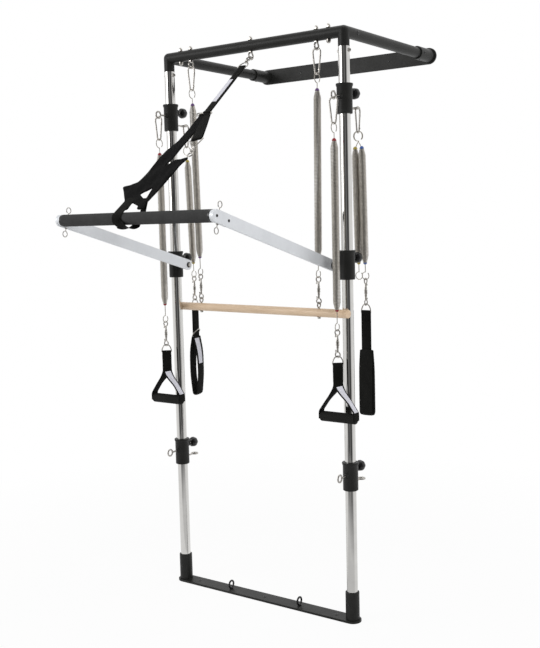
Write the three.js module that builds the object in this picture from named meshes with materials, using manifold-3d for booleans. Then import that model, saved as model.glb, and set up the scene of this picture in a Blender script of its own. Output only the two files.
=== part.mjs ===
// A pilates tower unit: a chrome and black tube frame fixed to a wall and a floor, with sliding
// collars, a push-through bar, a sprung roll-down bar, handles, foot straps and a safety strap.
//
// Millimetres, +Z up. The origin is on the floor, midway between the two uprights. +X is the
// right-hand upright seen from the room, and +Y points from the uprights to the wall.

import * as THREE from 'three';
import { mergeVertices } from 'three/addons/utils/BufferGeometryUtils.js';
import Module from 'manifold-3d';

const wasm = await Module();
wasm.setup();

// Clearances and cuts
const gap = 0.3; // between two pieces that seat on each other
const linkGap = 0.5; // between two wires that hang in each other
const overrun = 2; // how far a cutter reaches past what it cuts

// Tube frame
const tubeRadius = 19.05;
const tubeWall = 2.5;
const frameHeight = 2000; // to the top of the crossbar
const uprightSpacing = 746; // axis to axis
const frameDepth = 623; // upright axis to the front of the wall plate
const stubDrop = 41; // crossbar axis to the top of the chrome upright
const spigotLength = 60;

// Wall and floor plates
const plateWidth = 60;
const plateThickness = 8;
const socketRadius = 24;
const floorSocketHeight = 97;
const wallSocketLength = 121;
const fixingRadius = 4.5; // screw holes
const floorFixingSpacing = 307;
const wallFixingSpacing = 203;
const floorEyeSpacing = 153;
const floorEyeRadius = 13;
const floorEyeWire = 3.5;

// Collars that slide on the uprights
const collarRadius = 25;
const collarLipRadius = 27.5;
const collarHeight = 97;
const collarLipHeight = 5;
const collarFlareHeight = 5;
const collarChamfer = 1.5;
const upperCollarDrop = 234; // top of the frame to the middle of each collar
const middleCollarDrop = 775;
const lowerCollarDrop = 1490;
const bossRadius = 11;
const bossReach = 37; // upright axis to the end of the boss
const screwRadius = 5;
const knobRise = 22; // above the middle of the collar
const knobRadius = 18.5;
const knobInnerY = 51;
const knobOuterY = 80;
const knobBevel = 3;
const knobLobes = 7;
const knobLobeDepth = 2.4;
const knobLobeSteps = 3;

// Eyes on the collars
const eyeRadius = 12; // to the middle of the wire
const eyeWire = 3;
const frontEyeY = 70;
const frontEyeRise = 6;
const backEyeY = 72;
const backEyeDrop = 25;

// Eyebolts in the crossbar
const innerEyeSpacing = 269; // middle of the crossbar to the eyes that hold springs
const outerEyeSpacing = 316;
const boltShankRadius = 4;
const nutRadius = 7.5;
const nutHeight = 7;
const nutPointHeight = 7;
const nutPointRadius = 1.5;

// Snap hooks at the tops of the springs
const hookHeight = 90;
const hookWire = 2.5;
const hookTopRadius = 12;
const hookBottomRadius = 7;

// Springs
const springWire = 1.5;
const coilRadius = 13.3;
const springRingRadius = 16.5;
const springStem = 20;
const longCoil = 555;
const shortCoil = 390;
const longCoilTurns = 10;
const shortCoilTurns = 7;
const taperLength = 28;
const tipRadius = 5;
const lowerEyeRadius = 13;
const longStem = 40; // coil to the lower eye
const shortStem = 28;
const ringStartAngle = -Math.PI / 4; // where the open ring's wire ends, beside the stem
const ringEndAngle = 1.5 * Math.PI; // where it runs into the stem

// Double-ended snap hooks under the springs
const snapHeight = 96;
const snapWire = 2.2;
const snapJawRadius = 9;
const snapBarrelRadius = 5;
const snapGripRadius = 6.5;
const snapGripLength = 12;

// Push-through bar
const armInset = 62; // upright's axis to the inner face of the arm
const barReach = 619; // uprights to bar, level
const barRise = 169; // pivots to bar, upright
const pivotDrop = 2; // below the middle of the collar
const barRadius = 19.05;
const armThickness = 8;
const armWidth = 38;
const tabThickness = 6;
const tabLength = 56;
const armScrewRadius = 3.2;
const hubRadius = 14;
const pivotRadius = 5;
const pivotDepth = 20;
const washerRadius = 10.5;
const washerThickness = 2;
const pivotHeadRadius = 7;
const pivotHeadHeight = 3;
const barEyeRadius = 8;
const barEyeWire = 1.6;
const barEyeStem = 9;
const barEyeAlong = 17; // from the bar's axis, along the arm

// Roll-down bar, which hangs behind the left upright and in front of the right one
const dowelRadius = 14.5;
const dowelLength = 800;
const dowelDrop = 935; // top of the frame to the axis of the wooden bar
const dowelClear = 1.2; // from the uprights
const dowelEyeSpacing = 277; // middle of the bar to each eye, along the bar
const dowelEyeRadius = 9;
const dowelEyeWire = 2.5;
const dowelShankRadius = 3;
const dowelNutRadius = 6;
const dowelNutHeight = 6;

// Handles
const ringWire = 2; // the D-rings
const ringHalfWidth = 17.5;
const ringHeight = 26;
const webbing = 2.5; // thickness
const handleWebWidth = 34;
const handleNeck = 95; // D-ring to the start of the legs
const handleDrop = 205; // D-ring to the axis of the grip
const gripRadius = 16;
const gripLength = 128;
const gripCore = 8;

// Foot straps
const footWebWidth = 36;
const footWebLength = 125;
const footPadWidth = 50;
const footPadLength = 235;
const footPadDepth = 30;
const footShoulderShare = 0.3; // height of the pad's pointed top
const footPadThickness = 8;

// Springs behind the uprights, which hang down behind the middle knobs
const knobTravel = 100; // how far a middle knob can be raised before it meets the spring behind it
const singleSway = 2; // sideways throw of the single spring at the middle knob, to the right
const pairPitch = 4; // between the two rings on one hook

// Safety strap, from the middle of the crossbar to the push-through bar
const strapBarrelLength = 16;
const strapRingHalfWidth = 19;
const upperWebWidth = 27;
const slideReach = 357; // slide to the bar, level
const slideDrop = 275; // top of the frame to the three-bar slide
const slideHalfWidth = 33;
const slideHeight = 18;
const slideOffset = 9; // the slide's middle, to the left of the unit's
const slideWire = 2.5;
const slingWidth = 150;
const slingThickness = 4;
const slingTopX = -2; // the middle of the webbing on the slide
const slingTopWidth = 40;
const branchX = 10; // the right branch at the slide
const branchTopWidth = 15;
const branchTurn = 0.25; // radians, between the right branch and the strap
const branchWidth = 38;
const branchLength = 136;
const branchRingHalfWidth = 24.5;
const branchRingHeight = 48;
const branchBarrelLength = 26;
const tipSleeveWidth = 6;
const leftLoopX = -50; // the two loops round the bar
const leftLoopWidth = 40;
const rightLoopX = 31;
const rightLoopWidth = 42;

// How finely round shapes are cut
const tubeSides = 16;
const gripSides = 12;
const rodSides = 8;
const barrelSides = 6;
const nutSides = 6;
const wireSides = 5;
const ringSteps = 8;
const bowSteps = 6;
const springRingSteps = 7; // an eighth of a turn each, so that one corner is at the top
const arcSteps = 4;
const pearSteps = 5;
const curlSteps = 8;
const curlSides = 5;

// Shares used in more than one place
const halfShare = 0.5;

// The sling's edge as [share of its width, share of the strap's length below the slide]: down
// the left side, between the loops, up the right side, along the top, and the hole between straps.
const slingLeftShares = [
  [-0.16, 0.15], [-0.21, 0.29], [-0.39, 0.43], [-0.42, 0.61], [-0.5, 0.71], [-0.79, 0.76], [-0.45, 0.9],
];
const slingCrotchShares = [[-0.21, 0.91], [0.07, 0.96]];
const slingRightShares = [[0.19, 0.93], [0.27, 0.8], [0.32, 0.68], [0.39, 0.55]];
const slingTopShares = [[0.13, 0.49], [0.03, 0.52], [-0.05, 0.56], [0.02, 0.38], [0.07, 0.26], [0.08, 0.14]];
const slingHoleShares = [[0.07, 0.77], [0.11, 0.9], [-0.18, 0.83]];

// Values worked out from the sizes above
const half = uprightSpacing * halfShare;
const beamZ = frameHeight - tubeRadius;
const upperCollarZ = frameHeight - upperCollarDrop;
const middleCollarZ = frameHeight - middleCollarDrop;
const lowerCollarZ = frameHeight - lowerCollarDrop;
const dowelZ = frameHeight - dowelDrop;
const slideY = barReach - slideReach;
const slideZ = frameHeight - slideDrop;
const barSpan = uprightSpacing - 2 * armInset;
const uprightTop = beamZ - stubDrop - gap;
const tubeBore = tubeRadius - tubeWall;
const pivotZ = middleCollarZ - pivotDrop;
const barZ = pivotZ + barRise;
const armLength = Math.hypot(barReach, barRise);
const armTilt = Math.atan2(barRise, barReach);
const barEyeZ = beamZ - tubeRadius - gap - eyeRadius - eyeWire; // middle of the crossbar's eyes
const dowelY = tubeRadius + dowelRadius + dowelClear;

const at = (x, y, z) => new THREE.Vector3(x, y, z);
const alongX = at(1, 0, 0);
const alongY = at(0, 1, 0);
const alongZ = at(0, 0, 1);

// Shape helpers

// Turns a closed geometry into a solid that can be joined and cut.
function toSolid(geometry) {
  const bare = geometry.clone();
  bare.deleteAttribute('normal');
  bare.deleteAttribute('uv');
  const merged = mergeVertices(bare);
  return new wasm.Manifold(new wasm.Mesh({
    numProp: 3,
    vertProperties: Float32Array.from(merged.attributes.position.array),
    triVerts: Uint32Array.from(merged.index.array),
  }));
}

function toGeometry(solid) {
  const mesh = solid.getMesh();
  const geometry = new THREE.BufferGeometry();
  geometry.setAttribute('position', new THREE.BufferAttribute(mesh.vertProperties, 3));
  geometry.setIndex(new THREE.BufferAttribute(mesh.triVerts, 1));
  return geometry;
}

function join(pieces, cutters = []) {
  let solid = toSolid(pieces[0]);
  for (const piece of pieces.slice(1)) solid = solid.add(toSolid(piece));
  for (const cutter of cutters) solid = solid.subtract(toSolid(cutter));
  return toGeometry(solid);
}

// A cylinder between two points.
function rod(from, to, radius, sides = rodSides) {
  const along = to.clone().sub(from);
  const shape = new THREE.CylinderGeometry(radius, radius, along.length(), sides);
  const turn = new THREE.Quaternion().setFromUnitVectors(alongY, along.clone().normalize());
  const middle = from.clone().add(to).multiplyScalar(halfShare);
  return shape.applyQuaternion(turn).translate(middle.x, middle.y, middle.z);
}

// The corner radius of a many-sided hole that leaves the usual gap round a shaft.
function snug(radius, sides) {
  return (radius + gap) / Math.cos(Math.PI / sides);
}

// A cutter that leaves the usual gap round a rod of the given radius.
function bore(from, to, radius, sides = rodSides) {
  const reach = to.clone().sub(from).setLength(overrun);
  return rod(from.clone().sub(reach), to.clone().add(reach), snug(radius, sides), sides);
}

// A turned shape about an axis that starts at a point. The profile is a list of [radius, along].
function turned(profile, start, axis, sides = rodSides) {
  const points = profile.map(([radius, along]) => new THREE.Vector2(radius, along));
  const shape = new THREE.LatheGeometry(points, sides);
  shape.applyQuaternion(new THREE.Quaternion().setFromUnitVectors(alongY, axis));
  return shape.translate(start.x, start.y, start.z);
}

// A closed ring of wire about an axis.
function ring(centre, axis, radius, wire, steps = ringSteps) {
  const shape = new THREE.TorusGeometry(radius, wire, wireSides, steps);
  shape.applyQuaternion(new THREE.Quaternion().setFromUnitVectors(alongZ, axis));
  return shape.translate(centre.x, centre.y, centre.z);
}

// A closed loop of wire through points of the XZ plane, given as [x, z] anticlockwise from the front.
function wireLoop(points, wire, sides = wireSides) {
  const count = points.length;
  const corners = [];
  const faces = [];
  points.forEach(([x, z], step) => {
    const before = points[(step + count - 1) % count];
    const after = points[(step + 1) % count];
    const run = new THREE.Vector2(after[0] - before[0], after[1] - before[1]).normalize();
    for (let side = 0; side < sides; side += 1) {
      const angle = (2 * Math.PI * side) / sides;
      const out = wire * Math.cos(angle);
      corners.push(x + run.y * out, wire * Math.sin(angle), z - run.x * out);
    }
  });
  for (let step = 0; step < count; step += 1) {
    const next = (step + 1) % count;
    for (let side = 0; side < sides; side += 1) {
      const turn = (side + 1) % sides;
      const a = step * sides + side;
      const b = next * sides + side;
      const c = next * sides + turn;
      const d = step * sides + turn;
      faces.push(a, c, b, a, d, c);
    }
  }
  const geometry = new THREE.BufferGeometry();
  geometry.setAttribute('position', new THREE.Float32BufferAttribute(corners, 3));
  geometry.setIndex(faces);
  return geometry;
}

// A straight-sided tube through points of the XZ plane, given as [x, z], with mitred corners.
function mitredTube(points, radius, sides) {
  const corners = [];
  const last = points.length - 1;
  points.forEach(([x, z], step) => {
    const [beforeX, beforeZ] = points[Math.max(step - 1, 0)];
    const [afterX, afterZ] = points[Math.min(step + 1, last)];
    const into = new THREE.Vector2(x - beforeX, z - beforeZ).normalize();
    const away = new THREE.Vector2(afterX - x, afterZ - z).normalize();
    const run = into.clone().add(away).normalize();
    const widen = Math.max(run.dot(into), run.dot(away));
    for (let side = 0; side < sides; side += 1) {
      const angle = (2 * Math.PI * side) / sides;
      const out = (radius * Math.cos(angle)) / widen;
      corners.push(x + run.y * out, radius * Math.sin(angle), z - run.x * out);
    }
  });
  return closedTube(corners, points.length, sides);
}

// The faces of a tube with closed ends, from its rings of corners.
function closedTube(corners, rings, sides) {
  const faces = [];
  const last = rings - 1;
  for (let step = 0; step < last; step += 1) {
    for (let side = 0; side < sides; side += 1) {
      const turn = (side + 1) % sides;
      const a = step * sides + side;
      const b = (step + 1) * sides + side;
      const c = (step + 1) * sides + turn;
      const d = step * sides + turn;
      faces.push(a, c, b, a, d, c);
    }
  }
  for (let side = 1; side < sides - 1; side += 1) {
    faces.push(0, side + 1, side);
    faces.push(last * sides, last * sides + side, last * sides + side + 1);
  }
  const geometry = new THREE.BufferGeometry();
  geometry.setAttribute('position', new THREE.Float32BufferAttribute(corners, 3));
  geometry.setIndex(faces);
  return geometry;
}

// A tube with closed ends through points in space, its section carried along without twisting.
function wireTube(points, wire, sides = curlSides) {
  const corners = [];
  const last = points.length - 1;
  let across = null;
  points.forEach((point, step) => {
    const run = points[Math.min(step + 1, last)].clone().sub(points[Math.max(step - 1, 0)]).normalize();
    if (!across) across = Math.abs(run.y) < halfShare ? alongY.clone() : alongX.clone();
    across.addScaledVector(run, -across.dot(run)).normalize();
    const other = run.clone().cross(across);
    for (let side = 0; side < sides; side += 1) {
      const angle = (2 * Math.PI * side) / sides;
      const corner = point.clone().addScaledVector(across, wire * Math.cos(angle));
      corner.addScaledVector(other, wire * Math.sin(angle));
      corners.push(corner.x, corner.y, corner.z);
    }
  });
  return closedTube(corners, points.length, sides);
}

// A bar with round ends, flat in the XY plane, from one centre to another.
function stadium(from, to, radius) {
  const run = to.clone().sub(from);
  const turn = Math.atan2(run.y, run.x);
  const shape = new THREE.Shape();
  shape.absarc(to.x, to.y, radius, turn - Math.PI / 2, turn + Math.PI / 2, false);
  shape.absarc(from.x, from.y, radius, turn + Math.PI / 2, turn + (3 * Math.PI) / 2, false);
  shape.closePath();
  return shape;
}

function rectangle(left, low, right, high) {
  const shape = new THREE.Shape();
  shape.moveTo(left, low);
  shape.lineTo(right, low);
  shape.lineTo(right, high);
  shape.lineTo(left, high);
  shape.closePath();
  return shape;
}

function roundHole(x, y, radius) {
  const hole = new THREE.Path();
  hole.absarc(x, y, radius, 0, 2 * Math.PI, true);
  return hole;
}

function slab(shape, thickness, curveSegments = arcSteps) {
  return new THREE.ExtrudeGeometry(shape, { depth: thickness, bevelEnabled: false, curveSegments });
}

// The points of a pear outline in the XZ plane, as [x, z], with its wide end up.
function pear(topZ, bottomZ, topRadius, bottomRadius) {
  const lean = Math.asin((topRadius - bottomRadius) / (topZ - bottomZ - topRadius - bottomRadius));
  const points = [];
  for (let step = 0; step <= pearSteps; step += 1) {
    const angle = -lean + ((Math.PI + 2 * lean) * step) / pearSteps;
    points.push([topRadius * Math.cos(angle), topZ - topRadius + topRadius * Math.sin(angle)]);
  }
  for (let step = 0; step <= pearSteps; step += 1) {
    const angle = Math.PI + lean + ((Math.PI - 2 * lean) * step) / pearSteps;
    points.push([bottomRadius * Math.cos(angle), bottomZ + bottomRadius + bottomRadius * Math.sin(angle)]);
  }
  return points;
}

// Finishes and placing

function finish(color, roughness, metalness) {
  return new THREE.MeshStandardMaterial({ color, roughness, metalness });
}

const finishes = {
  blackPaint: () => finish(0x2c2c2d, 0.5, 0.1),
  chrome: () => finish(0xc9cacc, 0.12, 1),
  aluminium: () => finish(0xc6c9cc, 0.4, 0.9),
  steel: () => finish(0xb9b7b2, 0.3, 1),
  spring: () => finish(0xa39d93, 0.35, 0.9),
  knob: () => finish(0x1c1c1d, 0.55, 0),
  foam: () => finish(0x404041, 0.9, 0),
  webbing: () => finish(0x191917, 0.9, 0),
  wood: () => finish(0xd9b98c, 0.55, 0),
};

const tower = new THREE.Group();

function add(name, geometry, material, parent = tower) {
  geometry.deleteAttribute('normal');
  geometry.computeVertexNormals();
  const mesh = new THREE.Mesh(geometry, material());
  mesh.name = name;
  parent.add(mesh);
  return mesh;
}

function groupAt(position, parent = tower) {
  const group = new THREE.Group();
  group.position.copy(position);
  parent.add(group);
  return group;
}

const sides = [
  { name: 'left', sign: -1 },
  { name: 'right', sign: 1 },
];

// Frame

// The painted top frame: a crossbar with mitred corners and a short stub under each corner that
// plugs into the chrome upright, and two side arms back to the wall.
function topFrame() {
  const low = beamZ - stubDrop;
  const path = [[-half, low], [-half, beamZ], [half, beamZ], [half, low]];
  const pieces = [mitredTube(path, tubeRadius, tubeSides)];
  for (const { sign } of sides) {
    const back = at(sign * half, frameDepth - gap, beamZ);
    pieces.push(rod(at(sign * half, 0, beamZ), back, tubeRadius, tubeSides));
    const tip = at(sign * half, 0, low - spigotLength);
    pieces.push(rod(tip, at(sign * half, 0, low + overrun), tubeBore - gap, tubeSides));
  }
  const cutters = crossbarEyes().map((x) => (
    bore(at(x, 0, beamZ - tubeRadius), at(x, 0, beamZ + tubeRadius), boltShankRadius)
  ));
  return join(pieces, cutters);
}

function crossbarEyes() {
  return [-outerEyeSpacing, -innerEyeSpacing, 0, innerEyeSpacing, outerEyeSpacing];
}

// One eyebolt through the crossbar: an eye below, a pointed nut above.
function crossbarEyebolt() {
  const top = tubeRadius + gap;
  const nut = [
    [0, 0], [nutRadius, 0], [nutRadius, nutHeight],
    [nutPointRadius, nutHeight + nutPointHeight], [0, nutHeight + nutPointHeight],
  ];
  const eye = ring(at(0, 0, barEyeZ - beamZ), alongX, eyeRadius, eyeWire);
  const shank = rod(at(0, 0, barEyeZ - beamZ + eyeRadius), at(0, 0, top + overrun), boltShankRadius);
  return join([eye, shank, turned(nut, at(0, 0, top), alongZ, nutSides)]);
}

function upright() {
  const bottom = at(0, 0, plateThickness + gap);
  const top = at(0, 0, uprightTop);
  const inner = [at(0, 0, 0), at(0, 0, frameHeight)];
  return join([rod(bottom, top, tubeRadius, tubeSides)], [rod(...inner, tubeBore, tubeSides)]);
}

// A flat bar with round ends and a socket near each end, lying in the XY plane with sockets up.
function socketPlate(socketLength, holes) {
  const shape = stadium(at(-half, 0, 0), at(half, 0, 0), plateWidth * halfShare);
  for (const x of holes) shape.holes.push(roundHole(x, 0, fixingRadius));
  const pieces = [slab(shape, plateThickness)];
  const cutters = [];
  for (const { sign } of sides) {
    const base = at(sign * half, 0, plateThickness);
    const mouth = at(sign * half, 0, plateThickness + socketLength);
    pieces.push(rod(at(sign * half, 0, plateThickness * halfShare), mouth, socketRadius, tubeSides));
    cutters.push(bore(base.clone().setZ(base.z + overrun), mouth, tubeRadius, tubeSides));
  }
  return { pieces, cutters };
}

// The floor base, with two eyebolts between the sockets.
function floorBase() {
  const { pieces, cutters } = socketPlate(floorSocketHeight, [-floorFixingSpacing, 0, floorFixingSpacing]);
  for (const { sign } of sides) {
    const x = sign * floorEyeSpacing;
    const eyeZ = plateThickness + floorEyeRadius + floorEyeWire;
    pieces.push(ring(at(x, 0, eyeZ), alongX, floorEyeRadius, floorEyeWire));
    const root = at(x, 0, plateThickness * halfShare);
    pieces.push(rod(root, at(x, 0, plateThickness + floorEyeWire), floorEyeWire));
  }
  return join(pieces, cutters);
}

function wallPlate() {
  const { pieces, cutters } = socketPlate(wallSocketLength, [-wallFixingSpacing, wallFixingSpacing]);
  const shape = join(pieces, cutters);
  // The sockets point away from the wall.
  return shape.rotateX(Math.PI / 2);
}

// Collars and knobs

// A collar with its clamp boss at the back, and eyes or a pivot hub. Its own origin is at its middle.
function collar({ eyes, hubSign }) {
  const low = -collarHeight * halfShare;
  const high = collarHeight * halfShare;
  const lipStart = high - collarLipHeight;
  const profile = [
    [0, low], [collarRadius - collarChamfer, low], [collarRadius, low + collarChamfer],
    [collarRadius, lipStart - collarFlareHeight], [collarLipRadius, lipStart],
    [collarLipRadius, high], [0, high],
  ];
  const pieces = [turned(profile, at(0, 0, 0), alongZ, tubeSides)];
  const cutters = [bore(at(0, 0, low), at(0, 0, high), tubeRadius, tubeSides)];
  const seat = at(0, tubeRadius, knobRise);
  pieces.push(rod(seat, at(0, bossReach, knobRise), bossRadius));
  cutters.push(bore(at(0, 0, knobRise), at(0, bossReach, knobRise), screwRadius));
  if (eyes) {
    const inside = (tubeRadius + collarRadius) * halfShare;
    const frontStem = at(0, eyeRadius - frontEyeY, frontEyeRise);
    const backStem = at(0, backEyeY - eyeRadius, -backEyeDrop);
    pieces.push(rod(at(0, -inside, frontEyeRise), frontStem, eyeWire, wireSides));
    pieces.push(ring(at(0, -frontEyeY, frontEyeRise), alongX, eyeRadius, eyeWire));
    pieces.push(rod(at(0, inside, -backEyeDrop), backStem, eyeWire, wireSides));
    pieces.push(ring(at(0, backEyeY, -backEyeDrop), alongZ, eyeRadius, eyeWire));
  }
  if (hubSign) {
    const inner = half - barSpan * halfShare - armThickness - gap;
    const wall = -hubSign * collarRadius * halfShare;
    const hubEnd = at(-hubSign * inner, 0, -pivotDrop);
    pieces.push(rod(at(wall, 0, -pivotDrop), hubEnd, hubRadius, rodSides));
    cutters.push(bore(at(-hubSign * (inner - pivotDepth), 0, -pivotDrop), hubEnd, pivotRadius));
  }
  return join(pieces, cutters);
}

// A lobed clamp knob with its screw. Its origin is on the upright's axis, and it points along +Y.
function knob() {
  const outline = new THREE.Shape();
  const steps = knobLobes * knobLobeSteps;
  for (let step = 0; step < steps; step += 1) {
    const angle = (2 * Math.PI * step) / steps;
    const radius = knobRadius - knobBevel - knobLobeDepth * halfShare * (1 - Math.cos(knobLobes * angle));
    const place = [radius * Math.cos(angle), radius * Math.sin(angle)];
    if (step === 0) outline.moveTo(...place);
    else outline.lineTo(...place);
  }
  outline.closePath();
  const head = new THREE.ExtrudeGeometry(outline, {
    depth: knobOuterY - knobInnerY - 2 * knobBevel,
    bevelEnabled: true,
    bevelThickness: knobBevel,
    bevelSize: knobBevel,
    bevelSegments: 1,
  });
  head.translate(0, 0, knobInnerY + knobBevel).rotateX(-Math.PI / 2);
  const screw = rod(at(0, tubeRadius + gap, 0), at(0, knobInnerY + overrun, 0), screwRadius);
  return join([head, screw]);
}

function collars() {
  const heights = [
    { level: 'upper', z: upperCollarZ },
    { level: 'middle', z: middleCollarZ },
    { level: 'lower', z: lowerCollarZ },
  ];
  for (const { name, sign } of sides) {
    for (const { level, z } of heights) {
      const place = groupAt(at(sign * half, 0, z));
      const shape = level === 'middle' ? { hubSign: sign } : { eyes: true };
      add(`${name}_${level}_collar`, collar(shape), finishes.blackPaint, place);
      add(`${name}_${level}_knob`, knob(), finishes.knob, place).position.setZ(knobRise);
    }
  }
}

// Push-through bar

// The bar, with a flat tab at each end that the arm is screwed to and two small eyes on each tab.
// The local X axis is the bar's own. Local Y runs along the arms to the pivots.
function pushBar() {
  const inner = barSpan * halfShare - gap;
  const pieces = [rod(at(-inner + tabThickness, 0, 0), at(inner - tabThickness, 0, 0), barRadius, tubeSides)];
  const tabRadius = armWidth * halfShare - overrun * halfShare;
  for (const { sign } of sides) {
    const tab = slab(stadium(at(0, 0, 0), at(tabLength, 0, 0), tabRadius), tabThickness);
    tab.applyMatrix4(new THREE.Matrix4().makeBasis(alongY, alongZ, alongX));
    tab.translate(sign < 0 ? -inner : inner - tabThickness, 0, 0);
    pieces.push(tab);
    const eyeX = sign * (inner - tabThickness * halfShare);
    for (const up of [-1, 1]) {
      const eyeAt = up * (tabRadius + barEyeStem + barEyeRadius);
      const stemEnd = at(eyeX, barEyeAlong, eyeAt - up * barEyeRadius);
      pieces.push(rod(at(eyeX, barEyeAlong, 0), stemEnd, barEyeWire, wireSides));
      pieces.push(ring(at(eyeX, barEyeAlong, eyeAt), alongX, barEyeRadius, barEyeWire, ringSteps));
    }
  }
  return join(pieces);
}

// One flat arm. Its origin is at the bar's axis, and local Y runs to the pivot.
function arm() {
  const shape = stadium(at(0, 0, 0), at(armLength, 0, 0), armWidth * halfShare);
  shape.holes.push(roundHole(armLength, 0, snug(pivotRadius, 2 * arcSteps)));
  for (const along of [0, tabLength]) shape.holes.push(roundHole(along, 0, armScrewRadius));
  return slab(shape, armThickness).applyMatrix4(new THREE.Matrix4().makeBasis(alongY, alongZ, alongX));
}

// A pivot bolt with its washer, along the local X axis, its head at the origin.
function pivotBolt() {
  const shank = washerThickness + armThickness + pivotDepth;
  const profile = [
    [0, 0], [pivotHeadRadius, 0], [pivotHeadRadius, pivotHeadHeight], [washerRadius, pivotHeadHeight],
    [washerRadius, pivotHeadHeight + washerThickness], [pivotRadius, pivotHeadHeight + washerThickness],
    [pivotRadius, pivotHeadHeight + shank], [0, pivotHeadHeight + shank],
  ];
  return turned(profile, at(0, 0, 0), alongX);
}

function pushThroughBar() {
  const swung = groupAt(at(0, -barReach, barZ));
  swung.rotation.x = -armTilt;
  add('push_through_bar', pushBar(), finishes.foam, swung);
  const inner = barSpan * halfShare;
  for (const { name, sign } of sides) {
    const plate = add(`${name}_push_arm`, arm(), finishes.aluminium, swung);
    plate.position.setX(sign < 0 ? -inner - armThickness : inner);
    const bolt = add(`${name}_pivot_bolt`, pivotBolt(), finishes.steel);
    const headX = inner - gap - washerThickness - pivotHeadHeight;
    bolt.position.set(sign * headX, 0, pivotZ);
    if (sign < 0) bolt.rotation.y = Math.PI;
  }
}

// Springs and hooks

// Points of a circle of wire in the XZ plane, from one angle to another.
function arc(centreZ, radius, fromAngle, toAngle, steps) {
  const points = [];
  for (let step = 0; step <= steps; step += 1) {
    const angle = fromAngle + ((toAngle - fromAngle) * step) / steps;
    points.push(at(radius * Math.cos(angle), 0, centreZ + radius * Math.sin(angle)));
  }
  return points;
}

// The helix of a coil that is narrow at both ends, down from z = 0.
function coilPoints(length, turns) {
  const points = [];
  const steps = turns * curlSteps;
  const wide = coilRadius - springWire;
  for (let step = 0; step <= steps; step += 1) {
    const down = (length * step) / steps;
    const toEnd = Math.min(down, length - down, taperLength) / taperLength;
    const radius = tipRadius - springWire + (wide - tipRadius + springWire) * Math.sqrt(toEnd);
    const angle = (2 * Math.PI * step) / curlSteps;
    points.push(at(radius * Math.cos(angle), radius * Math.sin(angle), -down));
  }
  return points;
}

// The smallest clear space between parts of one wire that are not next to each other.
function leastGap(points, wire) {
  let least = Infinity;
  for (let first = 0; first < points.length; first += 1) {
    let travelled = 0;
    for (let second = first + 1; second < points.length; second += 1) {
      travelled += points[second].distanceTo(points[second - 1]);
      const apart = points[first].distanceTo(points[second]);
      if (travelled > 4 * wire && travelled > 2 * apart) least = Math.min(least, apart - 2 * wire);
    }
  }
  return least;
}

// One spring as a single wire: an open ring, a stem, the coil, a stem and a lower eye.
// Its origin is at the top of the coil. The ring can stand to one side of the coil's axis, and the
// lower eye can be turned about that axis.
function spring(name, { length, turns, lowerStem, ringOffset, eyeTurn }) {
  const ringZ = springStem + springRingRadius;
  const ringPoints = arc(ringZ, springRingRadius, ringStartAngle, ringEndAngle, springRingSteps);
  for (const point of ringPoints) point.x += ringOffset;
  const upper = [...ringPoints, at(ringOffset * halfShare, 0, springStem * halfShare)];
  const eyeZ = -length - lowerStem - lowerEyeRadius;
  const lower = arc(eyeZ, lowerEyeRadius, -ringEndAngle, -ringStartAngle, springRingSteps);
  for (const point of lower) point.applyAxisAngle(alongZ, eyeTurn);
  const stem = at(0, 0, -length - lowerStem * halfShare);
  const points = [...upper, ...coilPoints(length, turns), stem, ...lower];
  console.log(`${name}: least gap to itself ${leastGap(points, springWire).toFixed(2)} mm`);
  return wireTube(points, springWire);
}

// A pear snap hook that hangs down. Its origin is at the middle of its top wire.
function snapHook(height = hookHeight) {
  const points = pear(0, 2 * hookWire - height, hookTopRadius, hookBottomRadius);
  return wireLoop(points, hookWire);
}

// A double-ended snap hook that hangs down. Its origin is at the middle of its top wire.
function doubleSnap(height = snapHeight) {
  const jawZ = snapJawRadius;
  const end = height - 2 * snapWire;
  const middle = -end * halfShare;
  const barrel = [
    [0, -end + 2 * jawZ], [snapBarrelRadius, -end + 2 * jawZ],
    [snapGripRadius, middle - snapGripLength * halfShare],
    [snapGripRadius, middle + snapGripLength * halfShare],
    [snapBarrelRadius, -2 * jawZ], [0, -2 * jawZ],
  ];
  return join([
    ring(at(0, 0, -jawZ), alongX, snapJawRadius, snapWire),
    ring(at(0, 0, jawZ - end), alongX, snapJawRadius, snapWire),
    turned(barrel, at(0, 0, 0), alongZ, barrelSides),
  ]);
}

// A D-ring in the XZ plane with its straight bar at the bottom. Its origin is at its top wire.
function dRing(halfWidth = ringHalfWidth) {
  const points = [];
  for (let step = 0; step <= bowSteps; step += 1) {
    const angle = (Math.PI * step) / bowSteps;
    const x = halfWidth * Math.cos(angle);
    points.push([x, -ringHeight + ringHeight * Math.sin(angle)]);
  }
  return wireLoop(points, ringWire);
}

// Lines that hang from the frame: a hook, a spring, a lower hook and what it carries.
// Each function hangs its pieces from the middle of a wire at a point, and returns the next point.

function hangHook(name, point, turn) {
  const hook = add(name, snapHook(), finishes.steel);
  hook.position.copy(point).add(at(0, 0, eyeWire + hookWire + linkGap));
  hook.rotation.z = turn;
  return hook.position.clone().add(at(0, 0, 2 * hookWire - hookHeight));
}

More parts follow.
